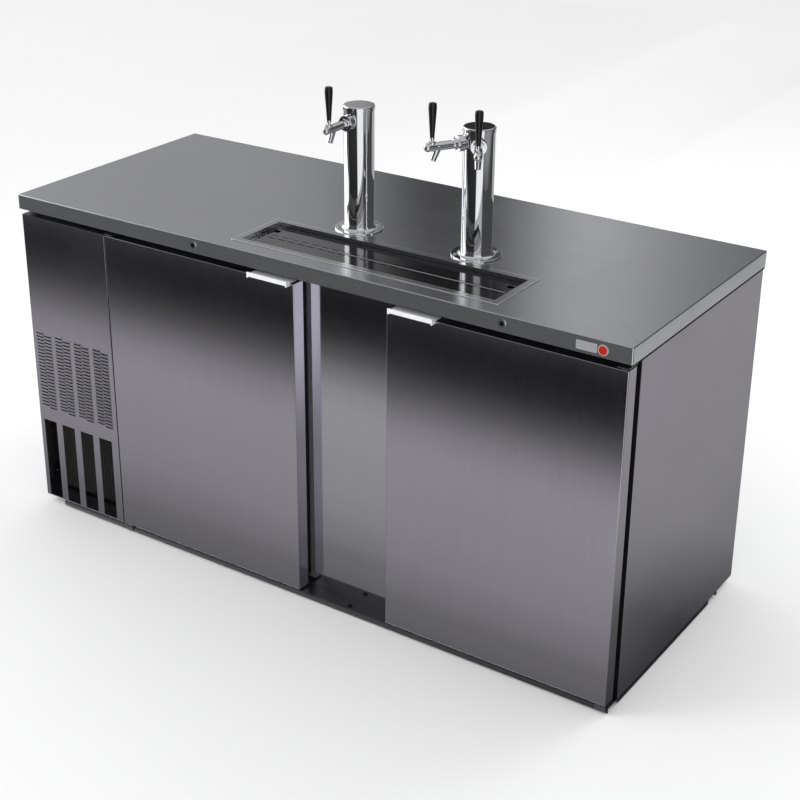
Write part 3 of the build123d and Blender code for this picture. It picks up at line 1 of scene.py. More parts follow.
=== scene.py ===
"""Looks of a two-door, two-tower beer cooler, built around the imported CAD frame."""
import math

import bmesh
import bpy
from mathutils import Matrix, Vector


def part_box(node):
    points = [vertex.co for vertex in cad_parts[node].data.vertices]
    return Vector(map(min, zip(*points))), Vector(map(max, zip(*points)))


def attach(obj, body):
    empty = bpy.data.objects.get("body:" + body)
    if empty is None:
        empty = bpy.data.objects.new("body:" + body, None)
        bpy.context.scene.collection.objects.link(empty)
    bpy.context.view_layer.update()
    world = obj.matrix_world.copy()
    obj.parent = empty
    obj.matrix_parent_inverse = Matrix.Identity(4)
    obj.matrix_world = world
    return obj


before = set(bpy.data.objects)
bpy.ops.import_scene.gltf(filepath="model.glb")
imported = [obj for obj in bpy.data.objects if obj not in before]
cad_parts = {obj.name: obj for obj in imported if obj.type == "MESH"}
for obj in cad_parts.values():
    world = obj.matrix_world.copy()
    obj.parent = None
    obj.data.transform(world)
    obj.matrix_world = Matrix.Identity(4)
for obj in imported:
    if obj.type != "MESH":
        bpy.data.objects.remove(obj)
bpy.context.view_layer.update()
scene = bpy.context.scene
MM = 0.001

WORKTOP_LOW, WORKTOP_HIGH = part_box("worktop")
FRONT, BACK = WORKTOP_LOW.y, WORKTOP_HIGH.y
LEFT, RIGHT = WORKTOP_LOW.x, WORKTOP_HIGH.x


# ---------------------------------------------------------------- node helpers
class Nodes:
    """A material's node tree, with short calls for the nodes used here."""

    def __init__(self, name):
        self.material = bpy.data.materials.new(name)
        self.material.use_nodes = True
        self.tree = self.material.node_tree
        self.tree.nodes.clear()
        self.output = self.tree.nodes.new("ShaderNodeOutputMaterial")

    def add(self, kind, **sockets):
        """A node, with its inputs set to values or linked to other nodes' outputs."""
        node = self.tree.nodes.new("ShaderNode" + kind)
        for key, value in sockets.items():
            self.put(node, key.replace("_", " "), value)
        return node

    def put(self, node, key, value):
        socket = node.inputs[key]
        if isinstance(value, bpy.types.NodeSocket):
            self.tree.links.new(value, socket)
        else:
            socket.default_value = value

    def place(self, scale):
        """Object coordinates, stretched by a scale for each axis."""
        mapping = self.add("Mapping", Vector=self.add("TexCoord").outputs["Object"])
        mapping.inputs["Scale"].default_value = scale
        return mapping.outputs["Vector"]

    def noise(self, scale, detail=3.0, roughness=0.55, stretch=(1, 1, 1)):
        node = self.add("TexNoise", Vector=self.place(stretch))
        node.inputs["Scale"].default_value = scale
        node.inputs["Detail"].default_value = detail
        node.inputs["Roughness"].default_value = roughness
        return node.outputs["Fac"]

    def axis(self, name):
        """One object coordinate, in metres."""
        parts = self.add("SeparateXYZ", Vector=self.add("TexCoord").outputs["Object"])
        return parts.outputs[name]

    def maths(self, operation, first, second=0.0):
        node = self.tree.nodes.new("ShaderNodeMath")
        node.operation = operation
        self.put(node, 0, first)
        self.put(node, 1, second)
        return node.outputs["Value"]

    def span(self, value, low, high, start=0.3, end=0.7):
        """A value between start and end, mapped to low and high."""
        node = self.add("MapRange")
        self.put(node, "Value", value)
        self.put(node, "From Min", start)
        self.put(node, "From Max", end)
        self.put(node, "To Min", low)
        self.put(node, "To Max", high)
        return node.outputs["Result"]

    def mix(self, amount, first, second):
        """Two colours or values mixed by an amount."""
        node = self.tree.nodes.new("ShaderNodeMix")
        node.data_type = "RGBA"
        self.put(node, 0, amount)
        for index, value in ((6, first), (7, second)):
            if isinstance(value, bpy.types.NodeSocket):
                self.tree.links.new(value, node.inputs[index])
            else:
                node.inputs[index].default_value = (*value, 1.0)
        return node.outputs[2]

    def bump(self, height, strength, distance, normal=None):
        node = self.add("Bump", Height=height, Strength=strength, Distance=distance)
        if normal is not None:
            self.put(node, "Normal", normal)
        return node.outputs["Normal"]

    def surface(self, **sockets):
        """A Principled shader with these inputs, joined to the output."""
        shader = self.add("BsdfPrincipled")
        for key, value in sockets.items():
            if isinstance(value, tuple) and len(value) == 3:
                value = (*value, 1.0)
            self.put(shader, key.replace("_", " "), value)
        self.tree.links.new(shader.outputs["BSDF"], self.output.inputs["Surface"])
        return self.material


def tinted(colour, factor):
    return tuple(min(1.0, channel * factor) for channel in colour)


# ---------------------------------------------------------------- materials
# stretches for the noise of a grain that runs one way
ALONG_X, ALONG_Z = (0.02, 1, 1), (1, 1, 0.02)
# where light or shade is painted on a sheet by place: factors on its colour for the painted light
# and the painted shade, and extra roughness with the painted shade
PAINTED_LIGHT_TONE, PAINTED_SHADE_TONE, PAINTED_SHADE_ROUGHNESS = 1.6, 0.05, 0.4


def brushed_steel(
    name, colour, rough, grain, depth=0.00001, cloud=0.03, streaks=0.02, painted_shade=None, painted_light=None
):
    """Sheet metal with a fine grain one way, soft cloudy patches and small scuffs.

    The shade and light masks give amounts by place: painted shade makes the sheet dark and matt
    where its mask is 1, and painted light makes it paler where its mask is 1."""
    n = Nodes(name)
    fine = n.noise(1400, 2, 0.6, grain)
    streak = n.noise(260, 3, 0.6, grain)
    patches = n.noise(3.2, 4, 0.6)
    scuffs = n.noise(46, 5, 0.7, (1, 0.4, 1))
    grained = n.mix(
        n.span(streak, 0.0, 1.0), tinted(colour, 1 - 1.5 * streaks), tinted(colour, 1 + streaks)
    )
    clouded = n.mix(n.span(patches, 0.0, 0.5), grained, tinted(colour, 1.0 - 2 * cloud))
    wear_and_painted_light = n.mix(n.span(scuffs, 0.0, 0.30, 0.62, 0.75), clouded, tinted(colour, 1.07))
    smear = n.span(patches, rough * 0.9, rough * 1.12)
    grainy = n.maths("ADD", smear, n.span(fine, -0.02, 0.03))
    # painted light, then painted shade, by place on the sheet
    if painted_light is not None:
        wear_and_painted_light = n.mix(painted_light(n), wear_and_painted_light, tinted(colour, PAINTED_LIGHT_TONE))
    if painted_shade is not None:
        amount = painted_shade(n)
        wear_and_painted_light = n.mix(amount, wear_and_painted_light, tinted(colour, PAINTED_SHADE_TONE))
        grainy = n.maths("ADD", grainy, n.maths("MULTIPLY", amount, PAINTED_SHADE_ROUGHNESS))
    normal = n.bump(fine, 0.35, depth)
    normal = n.bump(patches, 0.05, 0.0002, normal)
    return n.surface(Base_Color=wear_and_painted_light, Roughness=grainy, Metallic=1.0, Normal=normal)


def plated(name, colour, rough, wear=0.1):
    """Polished plating with faint waviness, water marks and a few matt specks."""
    n = Nodes(name)
    waves = n.noise(22, 2, 0.5)
    marks = n.noise(90, 6, 0.7)
    specks = n.noise(620, 2, 0.5)
    base = n.mix(n.span(marks, 0.0, wear, 0.45, 0.7), colour, tinted(colour, 0.72))
    rough_map = n.span(marks, rough * 0.75, rough * 1.9, 0.35, 0.75)
    normal = n.bump(waves, 0.06, 0.0006)
    normal = n.bump(specks, 0.04, 0.00002, normal)
    return n.surface(Base_Color=base, Roughness=rough_map, Metallic=1.0, Normal=normal)


def moulded(name, colour, rough, grain=900, depth=0.00004, coat=0.0):
    """Plastic with a fine moulded texture, slight colour drift and rubbed places."""
    n = Nodes(name)
    texture = n.noise(grain, 2, 0.5)
    drift = n.noise(14, 3, 0.6)
    rubs = n.noise(70, 5, 0.7)
    base = n.mix(n.span(drift, 0.0, 1.0), tinted(colour, 0.96), tinted(colour, 1.04))
    base = n.mix(n.span(rubs, 0.0, 0.2, 0.6, 0.75), base, tinted(colour, 1.2))
    rough_map = n.span(rubs, rough * 0.85, rough * 1.25)
    normal = n.bump(texture, 0.25, depth)
    return n.surface(Base_Color=base, Roughness=rough_map, Coat_Weight=coat, Normal=normal)


def painted(name, colour, rough):
    """Enamel over metal, with orange peel and dusty patches."""
    n = Nodes(name)
    peel = n.noise(380, 2, 0.5)
    dust = n.noise(18, 5, 0.65)
    base = n.mix(n.span(dust, 0.0, 0.2, 0.5, 0.75), colour, (0.16, 0.155, 0.15))
    rough_map = n.span(dust, rough, min(1.0, rough * 1.6), 0.4, 0.75)
    return n.surface(Base_Color=base, Roughness=rough_map, Normal=n.bump(peel, 0.2, 0.0001))


def galvanised(name, colour, rough):
    """Zinc-coated sheet with its crystal pattern."""
    n = Nodes(name)
    crystals = n.add("TexVoronoi", Vector=n.place((1, 1, 1)))
    crystals.inputs["Scale"].default_value = 70
    tone = n.span(crystals.outputs["Color"], 0.0, 1.0, 0.0, 1.0)
    base = n.mix(tone, tinted(colour, 0.78), tinted(colour, 1.12))
    rough_map = n.span(crystals.outputs["Color"], rough * 0.8, rough * 1.25, 0.0, 1.0)
    stains = n.noise(8, 5, 0.65)
    base = n.mix(n.span(stains, 0.0, 0.25, 0.5, 0.8), base, tinted(colour, 0.6))
    return n.surface(Base_Color=base, Roughness=rough_map, Metallic=0.9)


def foam(name, colour):
    """Rigid foam with open cells at its cut faces."""
    n = Nodes(name)
    cells = n.add("TexVoronoi", Vector=n.place((1, 1, 1)))
    cells.inputs["Scale"].default_value = 420
    drift = n.noise(9, 4, 0.6)
    base = n.mix(n.span(drift, 0.0, 1.0), tinted(colour, 0.86), tinted(colour, 1.08))
    return n.surface(
        Base_Color=base, Roughness=0.95, Normal=n.bump(cells.outputs["Distance"], 0.5, 0.0006)
    )


def rubber(name, colour):
    """Soft vinyl gasket, matt with a slight bloom."""
    n = Nodes(name)
    bloom = n.noise(35, 5, 0.7)
    texture = n.noise(1300, 2, 0.5)
    base = n.mix(n.span(bloom, 0.0, 0.4, 0.5, 0.8), colour, tinted(colour, 2.2))
    rough_map = n.span(bloom, 0.5, 0.75)
    return n.surface(Base_Color=base, Roughness=rough_map, Normal=n.bump(texture, 0.2, 0.00005))


STEEL = (0.60, 0.583, 0.645)
TOP_STEEL = (0.58, 0.585, 0.615)

# places that the materials go by, in metres
PANEL_LOW, PANEL_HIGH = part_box("side_panels")
PANEL_FACE = RIGHT - 0.0045  # just inside the side panels' outer faces
FLANGE_START = PANEL_HIGH.y - 0.004  # just in front of their rear flanges
BAND_FACE, BAND_SIDE = -0.3595, 0.9142  # just inside the worktop's front and right edges
DOOR_EDGE = 0.8815  # just under the doors' upper edges
SILL_TOP, SILL_BACK = 0.05, -0.32  # the sill's screw is below and in front of these
RIDGE_FOOT = 0.9312  # just above the drip grid's plate
PAN_LOW, PAN_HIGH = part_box("drip_pan")
RIM_MIDDLE, RIM_HALF = (PAN_LOW + PAN_HIGH) / 2, (PAN_HIGH - PAN_LOW) / 2
RIM_FOOT, RIM_BORDER = 0.9401, 0.003  # just above the worktop, and the border's width
TOP_SHADE = 0.85  # how strong the painted shade on the doors' and the cover's upper edges is


def inside_panels(n):
    """1 on the mostly unseen inner faces of the side panels, but not on their rear flanges:
    painted shade there, in the machine compartment behind the grille.
    """
    inner = n.maths("LESS_THAN", n.maths("ABSOLUTE", n.axis("X")), PANEL_FACE)
    return n.maths("MULTIPLY", inner, n.maths("LESS_THAN", n.axis("Y"), FLANGE_START))


def edge_bands(n):
    """1 on the worktop's front and right edges, where light is painted."""
    front = n.maths("LESS_THAN", n.axis("Y"), BAND_FACE)
    return n.maths("MAXIMUM", front, n.maths("GREATER_THAN", n.axis("X"), BAND_SIDE))


def grid_ridge(n):
    """1 on the drip grid's raised ridge, where a highlight is painted."""
    return n.maths("GREATER_THAN", n.axis("Z"), RIDGE_FOOT)


def rim_edges(n):
    """1 on the outer border of the drip pan's rim, where a highlight is painted."""
    across = n.maths("ABSOLUTE", n.maths("SUBTRACT", n.axis("X"), RIM_MIDDLE.x))
    along = n.maths("ABSOLUTE", n.maths("SUBTRACT", n.axis("Y"), RIM_MIDDLE.y))
    far = n.maths("SUBTRACT", across, RIM_HALF.x)
    near = n.maths("SUBTRACT", along, RIM_HALF.y)
    reach = n.maths("MAXIMUM", far, near)
    border = n.maths("GREATER_THAN", reach, -RIM_BORDER)
    return n.maths("MULTIPLY", border, n.maths("GREATER_THAN", n.axis("Z"), RIM_FOOT))


def shaded_top(n):
    """High on the upper edges of the doors and the grille cover under the worktop, where shade is
    painted.
    """
    return n.maths("MULTIPLY", n.maths("GREATER_THAN", n.axis("Z"), DOOR_EDGE), TOP_SHADE)


def badge_face(name):
    """Satin plate, with an enamelled disc beside it: red inside a pale ring."""
    n = Nodes(name)
    plate_end, disc_x, disc_z, red_r, ring_r = 0.8308, 0.8445, 0.918, 0.0102, 0.0118
    across = n.maths("SUBTRACT", n.axis("X"), disc_x)
    up = n.maths("SUBTRACT", n.axis("Z"), disc_z)
    reach = n.maths(
        "SQRT", n.maths("ADD", n.maths("MULTIPLY", across, across), n.maths("MULTIPLY", up, up))
    )
    drift = n.noise(300, 3, 0.6)
    satin = n.mix(drift, (0.30, 0.30, 0.32), (0.40, 0.40, 0.42))
    red = n.mix(drift, (0.42, 0.012, 0.008), (0.52, 0.02, 0.012))
    ring = n.mix(drift, (0.55, 0.30, 0.28), (0.62, 0.36, 0.33))
    disc = n.mix(n.maths("GREATER_THAN", reach, red_r), red, ring)
    disc = n.mix(n.maths("GREATER_THAN", reach, ring_r), disc, satin)
    face = n.mix(n.maths("GREATER_THAN", n.axis("X"), plate_end), satin, disc)
    return n.surface(Base_Color=face, Roughness=n.span(drift, 0.26, 0.36), Metallic=0.15)


def screw_metal(name, colour, rough):
    """Bright screws, but a blackened one in the sill."""
    n = Nodes(name)
    marks = n.noise(240, 4, 0.7)
    low = n.maths("LESS_THAN", n.axis("Z"), SILL_TOP)
    low = n.maths("MULTIPLY", low, n.maths("LESS_THAN", n.axis("Y"), SILL_BACK))
    tone = n.mix(low, colour, (0.012, 0.012, 0.013))
    tone = n.mix(n.span(marks, 0.0, 0.3, 0.45, 0.75), tone, tinted(colour, 0.5))
    return n.surface(Base_Color=tone, Roughness=n.span(marks, rough, rough * 1.7), Metallic=0.9)


# painted shade on the doors' and the cover's upper edges, under the worktop
door_steel = brushed_steel("door_steel", STEEL, 0.12, ALONG_Z, painted_shade=shaded_top)
cover_steel = brushed_steel("cover_steel", tinted(STEEL, 0.97), 0.14, ALONG_Z, painted_shade=shaded_top)
# a darker copy of the cover's steel: painted shade on the louvre hoods
hood_shaded_steel = brushed_steel("hood_shaded_steel", tinted(STEEL, 0.36), 0.3, ALONG_X)
# painted shade on the side panels' inner faces, inside the machine compartment
side_steel = brushed_steel("side_steel", STEEL, 0.2, ALONG_Z, painted_shade=inside_panels)
# painted light on the worktop's front and right edges
top_steel = brushed_steel("top_steel", TOP_STEEL, 0.23, ALONG_X, 0.000004, 0.02, painted_light=edge_bands)
frame_steel = brushed_steel("frame_steel", (0.66, 0.65, 0.70), 0.09, ALONG_Z)
# painted highlight on the outer border of the pan's rim
pan_steel = brushed_steel(
    "pan_steel", (0.58, 0.58, 0.60), 0.24, ALONG_X, 0.000001, 0.02, 0.01, painted_light=rim_edges
)
# a darker copy of the steel as painted shade on the drip grid, with a painted highlight on its
# ridge
grid_shaded_steel = brushed_steel(
    "grid_shaded_steel", (0.22, 0.22, 0.23), 0.11, ALONG_X, 0.000001, 0.02, 0.01, painted_light=grid_ridge
)
# a darker copy of the steel: painted shade on the base rails under the doors
rail_shaded_steel = brushed_steel("rail_shaded_steel", (0.17, 0.17, 0.18), 0.4, ALONG_X)
floor_steel = brushed_steel("floor_steel", (0.46, 0.46, 0.48), 0.3, ALONG_X)
bracket_steel = brushed_steel("bracket_steel", (0.34, 0.34, 0.35), 0.33, ALONG_X)
liner_steel = brushed_steel("liner_steel", (0.66, 0.67, 0.69), 0.38, ALONG_X, 0.00003)
tube_steel = plated("tube_steel", (0.62, 0.62, 0.64), 0.16)
chrome = plated("tower_chrome", (0.86, 0.86, 0.88), 0.03, 0.05)
lock_chrome = plated("lock_chrome", (0.60, 0.60, 0.62), 0.12)
zinc = plated("zinc_plate", (0.58, 0.59, 0.61), 0.26, 0.35)
lock_dark = plated("lock_dark", (0.07, 0.07, 0.075), 0.3, 0.2)
screw_zinc = screw_metal("screw_zinc", (0.56, 0.57, 0.59), 0.25)
zinc_sheet = galvanised("zinc_sheet", (0.46, 0.48, 0.50), 0.38)
coil_fins = brushed_steel("coil_fins", (0.66, 0.67, 0.69), 0.32, ALONG_Z, 0.00003)
copper = plated("copper_tube", (0.50, 0.25, 0.15), 0.34, 0.5)
handle_black = moulded("handle_black", (0.004, 0.004, 0.0045), 0.3, 700, 0.00001, 0.12)
nylon_black = moulded("nylon_black", (0.045, 0.045, 0.05), 0.42)
fan_black = moulded("fan_black", (0.05, 0.05, 0.055), 0.45)
white_plastic = moulded("white_plastic", (0.80, 0.80, 0.78), 0.36)
lining_white = moulded("lining_white", (0.76, 0.77, 0.78), 0.34, 240, 0.0001)
box_grey = moulded("box_grey", (0.26, 0.27, 0.28), 0.5)
pull_satin = moulded("pull_satin", (0.83, 0.83, 0.85), 0.3, 900, 0.00001, 0.3)
black_enamel = painted("black_enamel", (0.018, 0.018, 0.02), 0.32)
coil_black_and_shade = painted("coil_black_and_shade", (0.075, 0.075, 0.077), 0.6)
gasket_rubber = rubber("gasket_rubber", (0.012, 0.012, 0.013))
# black for the painted shadow strip under the worktop's edges
shade_strip_black = rubber("shade_strip_black", (0.01, 0.01, 0.011))
foam_buff = foam("foam_buff", (0.78, 0.72, 0.52))
badge_enamel = badge_face("badge_enamel")

SIDES, TAPS = ("left", "right"), ("left", "middle", "right")


def named(pattern, words):
    return [pattern.format(word) for word in words]


FINISHES = (
    (door_steel, named("door_skin_{}", SIDES)),
    (cover_steel, ["grille_cover"]),
    (side_steel, ["side_panels"]),
    (top_steel, ["worktop"]),
    (frame_steel, ["front_frame"]),
    (pan_steel, ["drip_pan"]),
    (grid_shaded_steel, ["drip_grid"]),
    (rail_shaded_steel, ["base_rails"]),
    (floor_steel, ["bottom_panel"]),
    (bracket_steel, ["hinge_brackets"]),
    (liner_steel, ["inner_liner", "keg_floor_rack", "evaporator_housing"]),
    (zinc_sheet, ["back_panel"]),
    (coil_fins, ["evaporator_coil"]),
    # the black coil enamel on the partition is painted shade in the machine compartment; on the
    # coil and the fan shroud it is their own colour
    (coil_black_and_shade, ["condenser_coil", "fan_shroud", "partition"]),
    (chrome, ["tower_columns", "tower_flanges", "tower_caps", "faucet_shanks", "faucet_bodies"]
     + named("tap_lever_{}", TAPS)),
    (pull_satin, named("door_pull_{}", SIDES)),
    (lock_chrome, ["lock_cylinders"]),
    (lock_dark, named("lock_plug_{}", SIDES)),
    (zinc, ["leveling_glides"]),
    (screw_zinc, ["screws"]),
    (tube_steel, ["beer_tubes"] + named("tap_valve_{}", TAPS)),
    (foam_buff, ["insulation"] + named("door_core_{}", SIDES)),
    (lining_white, named("door_liner_{}", SIDES)),
    (gasket_rubber, named("door_gasket_{}", SIDES)),
    (handle_black, named("tap_handle_{}", TAPS)),
    (nylon_black, named("door_bushes_{}", SIDES) + ["rear_bushes"]),
    (white_plastic, ["thermostat_knob", "drain_tube"]),
    (fan_black, ["condenser_fan_blade", "evaporator_fan_blade"]),
    (black_enamel, ["compressor", "fan_motors"]),
    (box_grey, ["electrical_box"]),
    (copper, ["refrigerant_lines"]),
    (badge_enamel, ["badge"]),
)
for finish, nodes in FINISHES:
    for node in nodes:
        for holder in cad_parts[node].material_slots:
            holder.material = finish


# ---------------------------------------------------------------- own pieces
def own_piece(name, solids, material):
    """One mesh of closed prisms, each given by its profile and the shift to its other end."""
    mesh = bmesh.new()
    for profile, shift in solids:
        near = [mesh.verts.new(Vector(corner)) for corner in profile]
        far = [mesh.verts.new(Vector(corner) + Vector(shift)) for corner in profile]
        mesh.faces.new(near)
        mesh.faces.new(far[::-1])
        for index, corner in enumerate(near):
            after = (index + 1) % len(near)
            mesh.faces.new((near[after], corner, far[index], far[after]))
    bmesh.ops.recalc_face_normals(mesh, faces=mesh.faces)
    data = bpy.data.meshes.new(name)
    mesh.to_mesh(data)
    mesh.free()
    data.materials.append(material)
    piece = bpy.data.objects.new(name, data)
    scene.collection.objects.link(piece)
    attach(piece, "cabinet")


# pressed hoods over the grille cover's louvre slots: blocks of two staggered columns
COVER_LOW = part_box("grille_cover")[0]
BLOCKS, BLOCK_PITCH, BLOCK_LEFT, COLUMN = 4, 71.5 * MM, 13 * MM, 29 * MM
ROWS, ROW_PITCH, SLOT_HEIGHT = 23, 10 * MM, 5.2 * MM
FIRST_SLOT = 540 * MM  # height of the first slot's middle
HOOD_WIDTH, HOOD_OUT, HOOD_LIP, HOOD_ROOT = 26.4 * MM, 2.4 * MM, 0.8 * MM, 0.4 * MM
HOOD_RISE, HOOD_SHEET = 4.2 * MM, 1.2 * MM  # above its slot, and thickness at the root
HOOD_END = 2.2 * MM  # above the slot's middle


def louvre_hoods():
    """Profiles of all the hoods: each leans out from above its slot and ends in a thin lip."""
    face, out = COVER_LOW.y + HOOD_ROOT, COVER_LOW.y - HOOD_OUT
    for group in range(BLOCKS):
        for side in (0, 1):
            middle = COVER_LOW.x + BLOCK_LEFT + group * BLOCK_PITCH + COLUMN * (side + 0.5)
            x = middle - HOOD_WIDTH / 2
            for row in range(ROWS):
                slot_z = FIRST_SLOT - row * ROW_PITCH - side * ROW_PITCH / 2
                top, bottom = slot_z + SLOT_HEIGHT / 2 + HOOD_RISE, slot_z + HOOD_END
                yield (
                    (x, face, top), (x, out, bottom + HOOD_LIP), (x, out, bottom),
                    (x, out + HOOD_LIP, bottom), (x, face, top - HOOD_SHEET),
                ), (HOOD_WIDTH, 0, 0)


own_piece("grille_louvres", list(louvre_hoods()), hood_shaded_steel)

# dark strip under the worktop's left and right edges: painted shade, the shadow line under the
# worktop's overhang
SHADE_STRIP, SHADE_STRIP_HEIGHT, SHADE_STRIP_GAP, SHADE_STRIP_NOSE = 2.6 * MM, 9.5 * MM, 0.05 * MM, 0.7
band_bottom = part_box("worktop")[0].z - SHADE_STRIP_GAP


def seal_strip(x, way):
    """A dark strip of painted shade that lies along a side panel, just under the worktop's edge.
    """
    return (
        (x, PANEL_LOW.y, band_bottom), (x + way * SHADE_STRIP, PANEL_LOW.y, band_bottom),
        (x + way * SHADE_STRIP, PANEL_LOW.y, band_bottom - SHADE_STRIP_HEIGHT * SHADE_STRIP_NOSE),
        (x, PANEL_LOW.y, band_bottom - SHADE_STRIP_HEIGHT),
    ), (0, PANEL_HIGH.y - PANEL_LOW.y, 0)


own_piece(
    "worktop_shade_strip",
    [seal_strip(PANEL_LOW.x - SHADE_STRIP_GAP, -1), seal_strip(PANEL_HIGH.x + SHADE_STRIP_GAP, 1)],
    shade_strip_black,
)

# thin sheet around each doorway, over the insulation between the door frame and the liner:
# the doorways' edges in x, and how far the sheets reach in y and z
DOORWAYS_X = ((-0.5565, -0.0245), (0.3235, 0.8555))
DOORWAY_Y, DOORWAY_Z = (-0.3000, -0.2559), (0.062, 0.845)
RISER_TOP = 0.0745  # of the step from the sill up to the liner's floor
LINING = 0.4 * MM


def block(low, high):
    """A box between two corners, as a prism that runs along Y."""
    return (
        (low[0], low[1], low[2]), (high[0], low[1], low[2]),
        (high[0], low[1], high[2]), (low[0], low[1], high[2]),
    ), (0, high[1] - low[1], 0)


def throat(left, right):
    """Sill, step, head and two jambs of one doorway."""
    (near, far), (bottom, top) = DOORWAY_Y, DOORWAY_Z
    yield block((left, near, bottom), (right, far, bottom + LINING))
    yield block(
        (left + LINING, far - LINING, bottom + LINING), (right - LINING, far, RISER_TOP)
    )
    yield block((left, near, top - LINING), (right, far, top))
    yield block((left, near, bottom + LINING), (left + LINING, far, top - LINING))
    yield block((right - LINING, near, bottom + LINING), (right, far, top - LINING))


own_piece(
    "doorway_linings", [sheet for edges in DOORWAYS_X for sheet in throat(*edges)],
    liner_steel,
)


# ---------------------------------------------------------------- studio
def ramp(n, amount, stops):
    """A smooth ramp of grey tones over an amount from 0 to 1."""
    node = n.add("ValToRGB", Fac=amount)
    node.color_ramp.interpolation = "EASE"
    elements = node.color_ramp.elements
    stops = sorted(stops)
    for place, _ in stops[2:]:
        elements.new(place)
    for element, (place, tone) in zip(elements, stops):
        element.position = place
        element.color = (tone, tone, tone, 1)
    return node.outputs["Color"]


def glow(n, colour, strength=1.0):
    """An emission shader joined to the output."""
    light = n.add("Emission", Color=colour, Strength=strength)
    n.tree.links.new(light.outputs["Emission"], n.output.inputs["Surface"])
    return n.material


def emissive(name, stops, axis, start, reach):
    """A card's light as a ramp of tones along one axis, from start over reach metres."""
    n = Nodes(name)
    return glow(n, ramp(n, n.span(n.axis(axis), 0.0, 1.0, start, start + reach), stops))


def show_in_reflections_only(piece):
    """Hides a piece from every ray but the reflected ones."""
    for ray in ("camera", "diffuse", "transmission", "volume_scatter", "shadow"):
        setattr(piece, "visible_" + ray, False)


def card(name, corners, material):
    """A flat card that only reflections see."""
    mesh = bpy.data.meshes.new(name)
    mesh.from_pydata([Vector(c) for c in corners], [], [tuple(range(len(corners)))])
    mesh.materials.append(material)
    piece = bpy.data.objects.new(name, mesh)
    scene.collection.objects.link(piece)
    show_in_reflections_only(piece)


CARD_HEIGHT = 0.0004


def flat_corners(x0, x1, y0, y1):
    """Corners of a level card, just above the floor."""
    z = CARD_HEIGHT
    return [(x0, y0, z), (x1, y0, z), (x1, y1, z), (x0, y1, z)]


# tones that the side panel mirrors from the floor at the right: share of the reach, and
# brightness. The dark far part is what the towers mirror.
SIDE_REACH = 5.0
SIDE_FAR_TONES = (
    (0.162, 0.38), (0.178, 0.50), (0.2, 0.50), (0.235, 0.12), (0.3, 0.04), (0.5, 0.05),
    (0.75, 0.27), (1.0, 0.35),
)
SIDE_TONES = ((0.0, 0.06), (0.025, 0.11), (0.055, 0.24), (0.1, 0.35)) + SIDE_FAR_TONES
# farther back, that floor stays pale up to the foot of the cabinet
SIDE_BACK_TONES = ((0.0, 0.22), (0.025, 0.28), (0.055, 0.34)) + SIDE_FAR_TONES
SIDE_NEAR_Y, SIDE_BACK_Y = 0.1, 0.6


def side_tones(n, stops):
    """Tones by the distance from the cabinet's right side."""
    return ramp(n, n.span(n.axis("X"), 0.0, 1.0, RIGHT, RIGHT + SIDE_REACH), stops)


def side_glow(name):
    """The floor at the right, paler towards the back."""
    n = Nodes(name)
    back = n.span(n.axis("Y"), 0.0, 1.0, SIDE_NEAR_Y, SIDE_BACK_Y)
    return glow(n, n.mix(back, side_tones(n, SIDE_TONES), side_tones(n, SIDE_BACK_TONES)))


# tones that the doors mirror from the floor in front, the same way
FRONT_REACH = 4.0
FRONT_TONES = (
    (0.0, 0.175), (0.03, 0.21), (0.055, 0.28), (0.085, 0.34), (0.12, 0.375), (0.21, 0.415),
    (0.245, 0.38), (0.275, 0.26), (0.31, 0.11), (0.35, 0.03), (0.39, 0.012), (0.46, 0.01),
    (0.48, 0.20), (0.53, 0.20), (0.56, 0.02), (1.0, 0.03),
)
# to the right of the doors' view, that floor turns into the one at the right
TURN_START, TURN_END = 1.15, 1.5
# a bright area there, for the towers and the doors' side edges
BRIGHT_FLOOR = (0.95, 0.95, 0.97)
BRIGHT_SLOPE, BRIGHT_START, BRIGHT_WIDTH = 0.338, 0.17, 0.28  # its left end
BRIGHT_NEAR, BRIGHT_FULL = -0.95, -1.45  # y where it starts, and where it is full
FAR_SLOPE, FAR_START, FAR_WIDTH = 0.456, -0.1, 0.2  # its right end, as the towers see it


def front_glow(name):
    """The floor in front, with the bright area."""
    n = Nodes(name)
    tones = ramp(n, n.span(n.axis("Y"), 0.0, 1.0, FRONT, FRONT - FRONT_REACH), FRONT_TONES)
    turned = n.span(n.axis("X"), 0.0, 1.0, TURN_START, TURN_END)
    tones = n.mix(turned, tones, side_tones(n, SIDE_TONES))
    side = n.maths("ADD", n.axis("X"), n.maths("MULTIPLY", n.axis("Y"), BRIGHT_SLOPE))
    side = n.span(side, 0.0, 1.0, BRIGHT_START, BRIGHT_START + BRIGHT_WIDTH)
    depth = n.span(n.axis("Y"), 0.0, 1.0, BRIGHT_NEAR, BRIGHT_FULL)
    end = n.maths("ADD", n.axis("Y"), n.maths("MULTIPLY", n.axis("X"), FAR_SLOPE))
    end = n.span(end, 1.0, 0.0, FAR_START, FAR_START + FAR_WIDTH)
    share = n.maths("MULTIPLY", n.maths("MULTIPLY", side, depth), end)
    return glow(n, n.mix(share, tones, BRIGHT_FLOOR))


# tones of the floor behind, the same way
BACK_REACH = 2.5
BACK_TONES = ((0.0, 0.06), (0.11, 0.26), (0.2, 0.38), (1.0, 0.5))
FAR = 7.0  # how far out the cards reach
card(
    "front_reflection", flat_corners(-FAR, FAR, FRONT - FAR, FRONT), front_glow("front_reflection")
)
card("right_reflection", flat_corners(RIGHT, FAR, FRONT, FAR), side_glow("right_reflection"))
card(
    "left_reflection", flat_corners(-FAR, LEFT, FRONT, FAR),
    emissive("left_reflection", SIDE_TONES, "X", LEFT, -SIDE_REACH),
)
card(
    "back_reflection", flat_corners(LEFT, RIGHT, BACK, FAR),
    emissive("back_reflection", BACK_TONES, "Y", BACK, BACK_REACH),
)

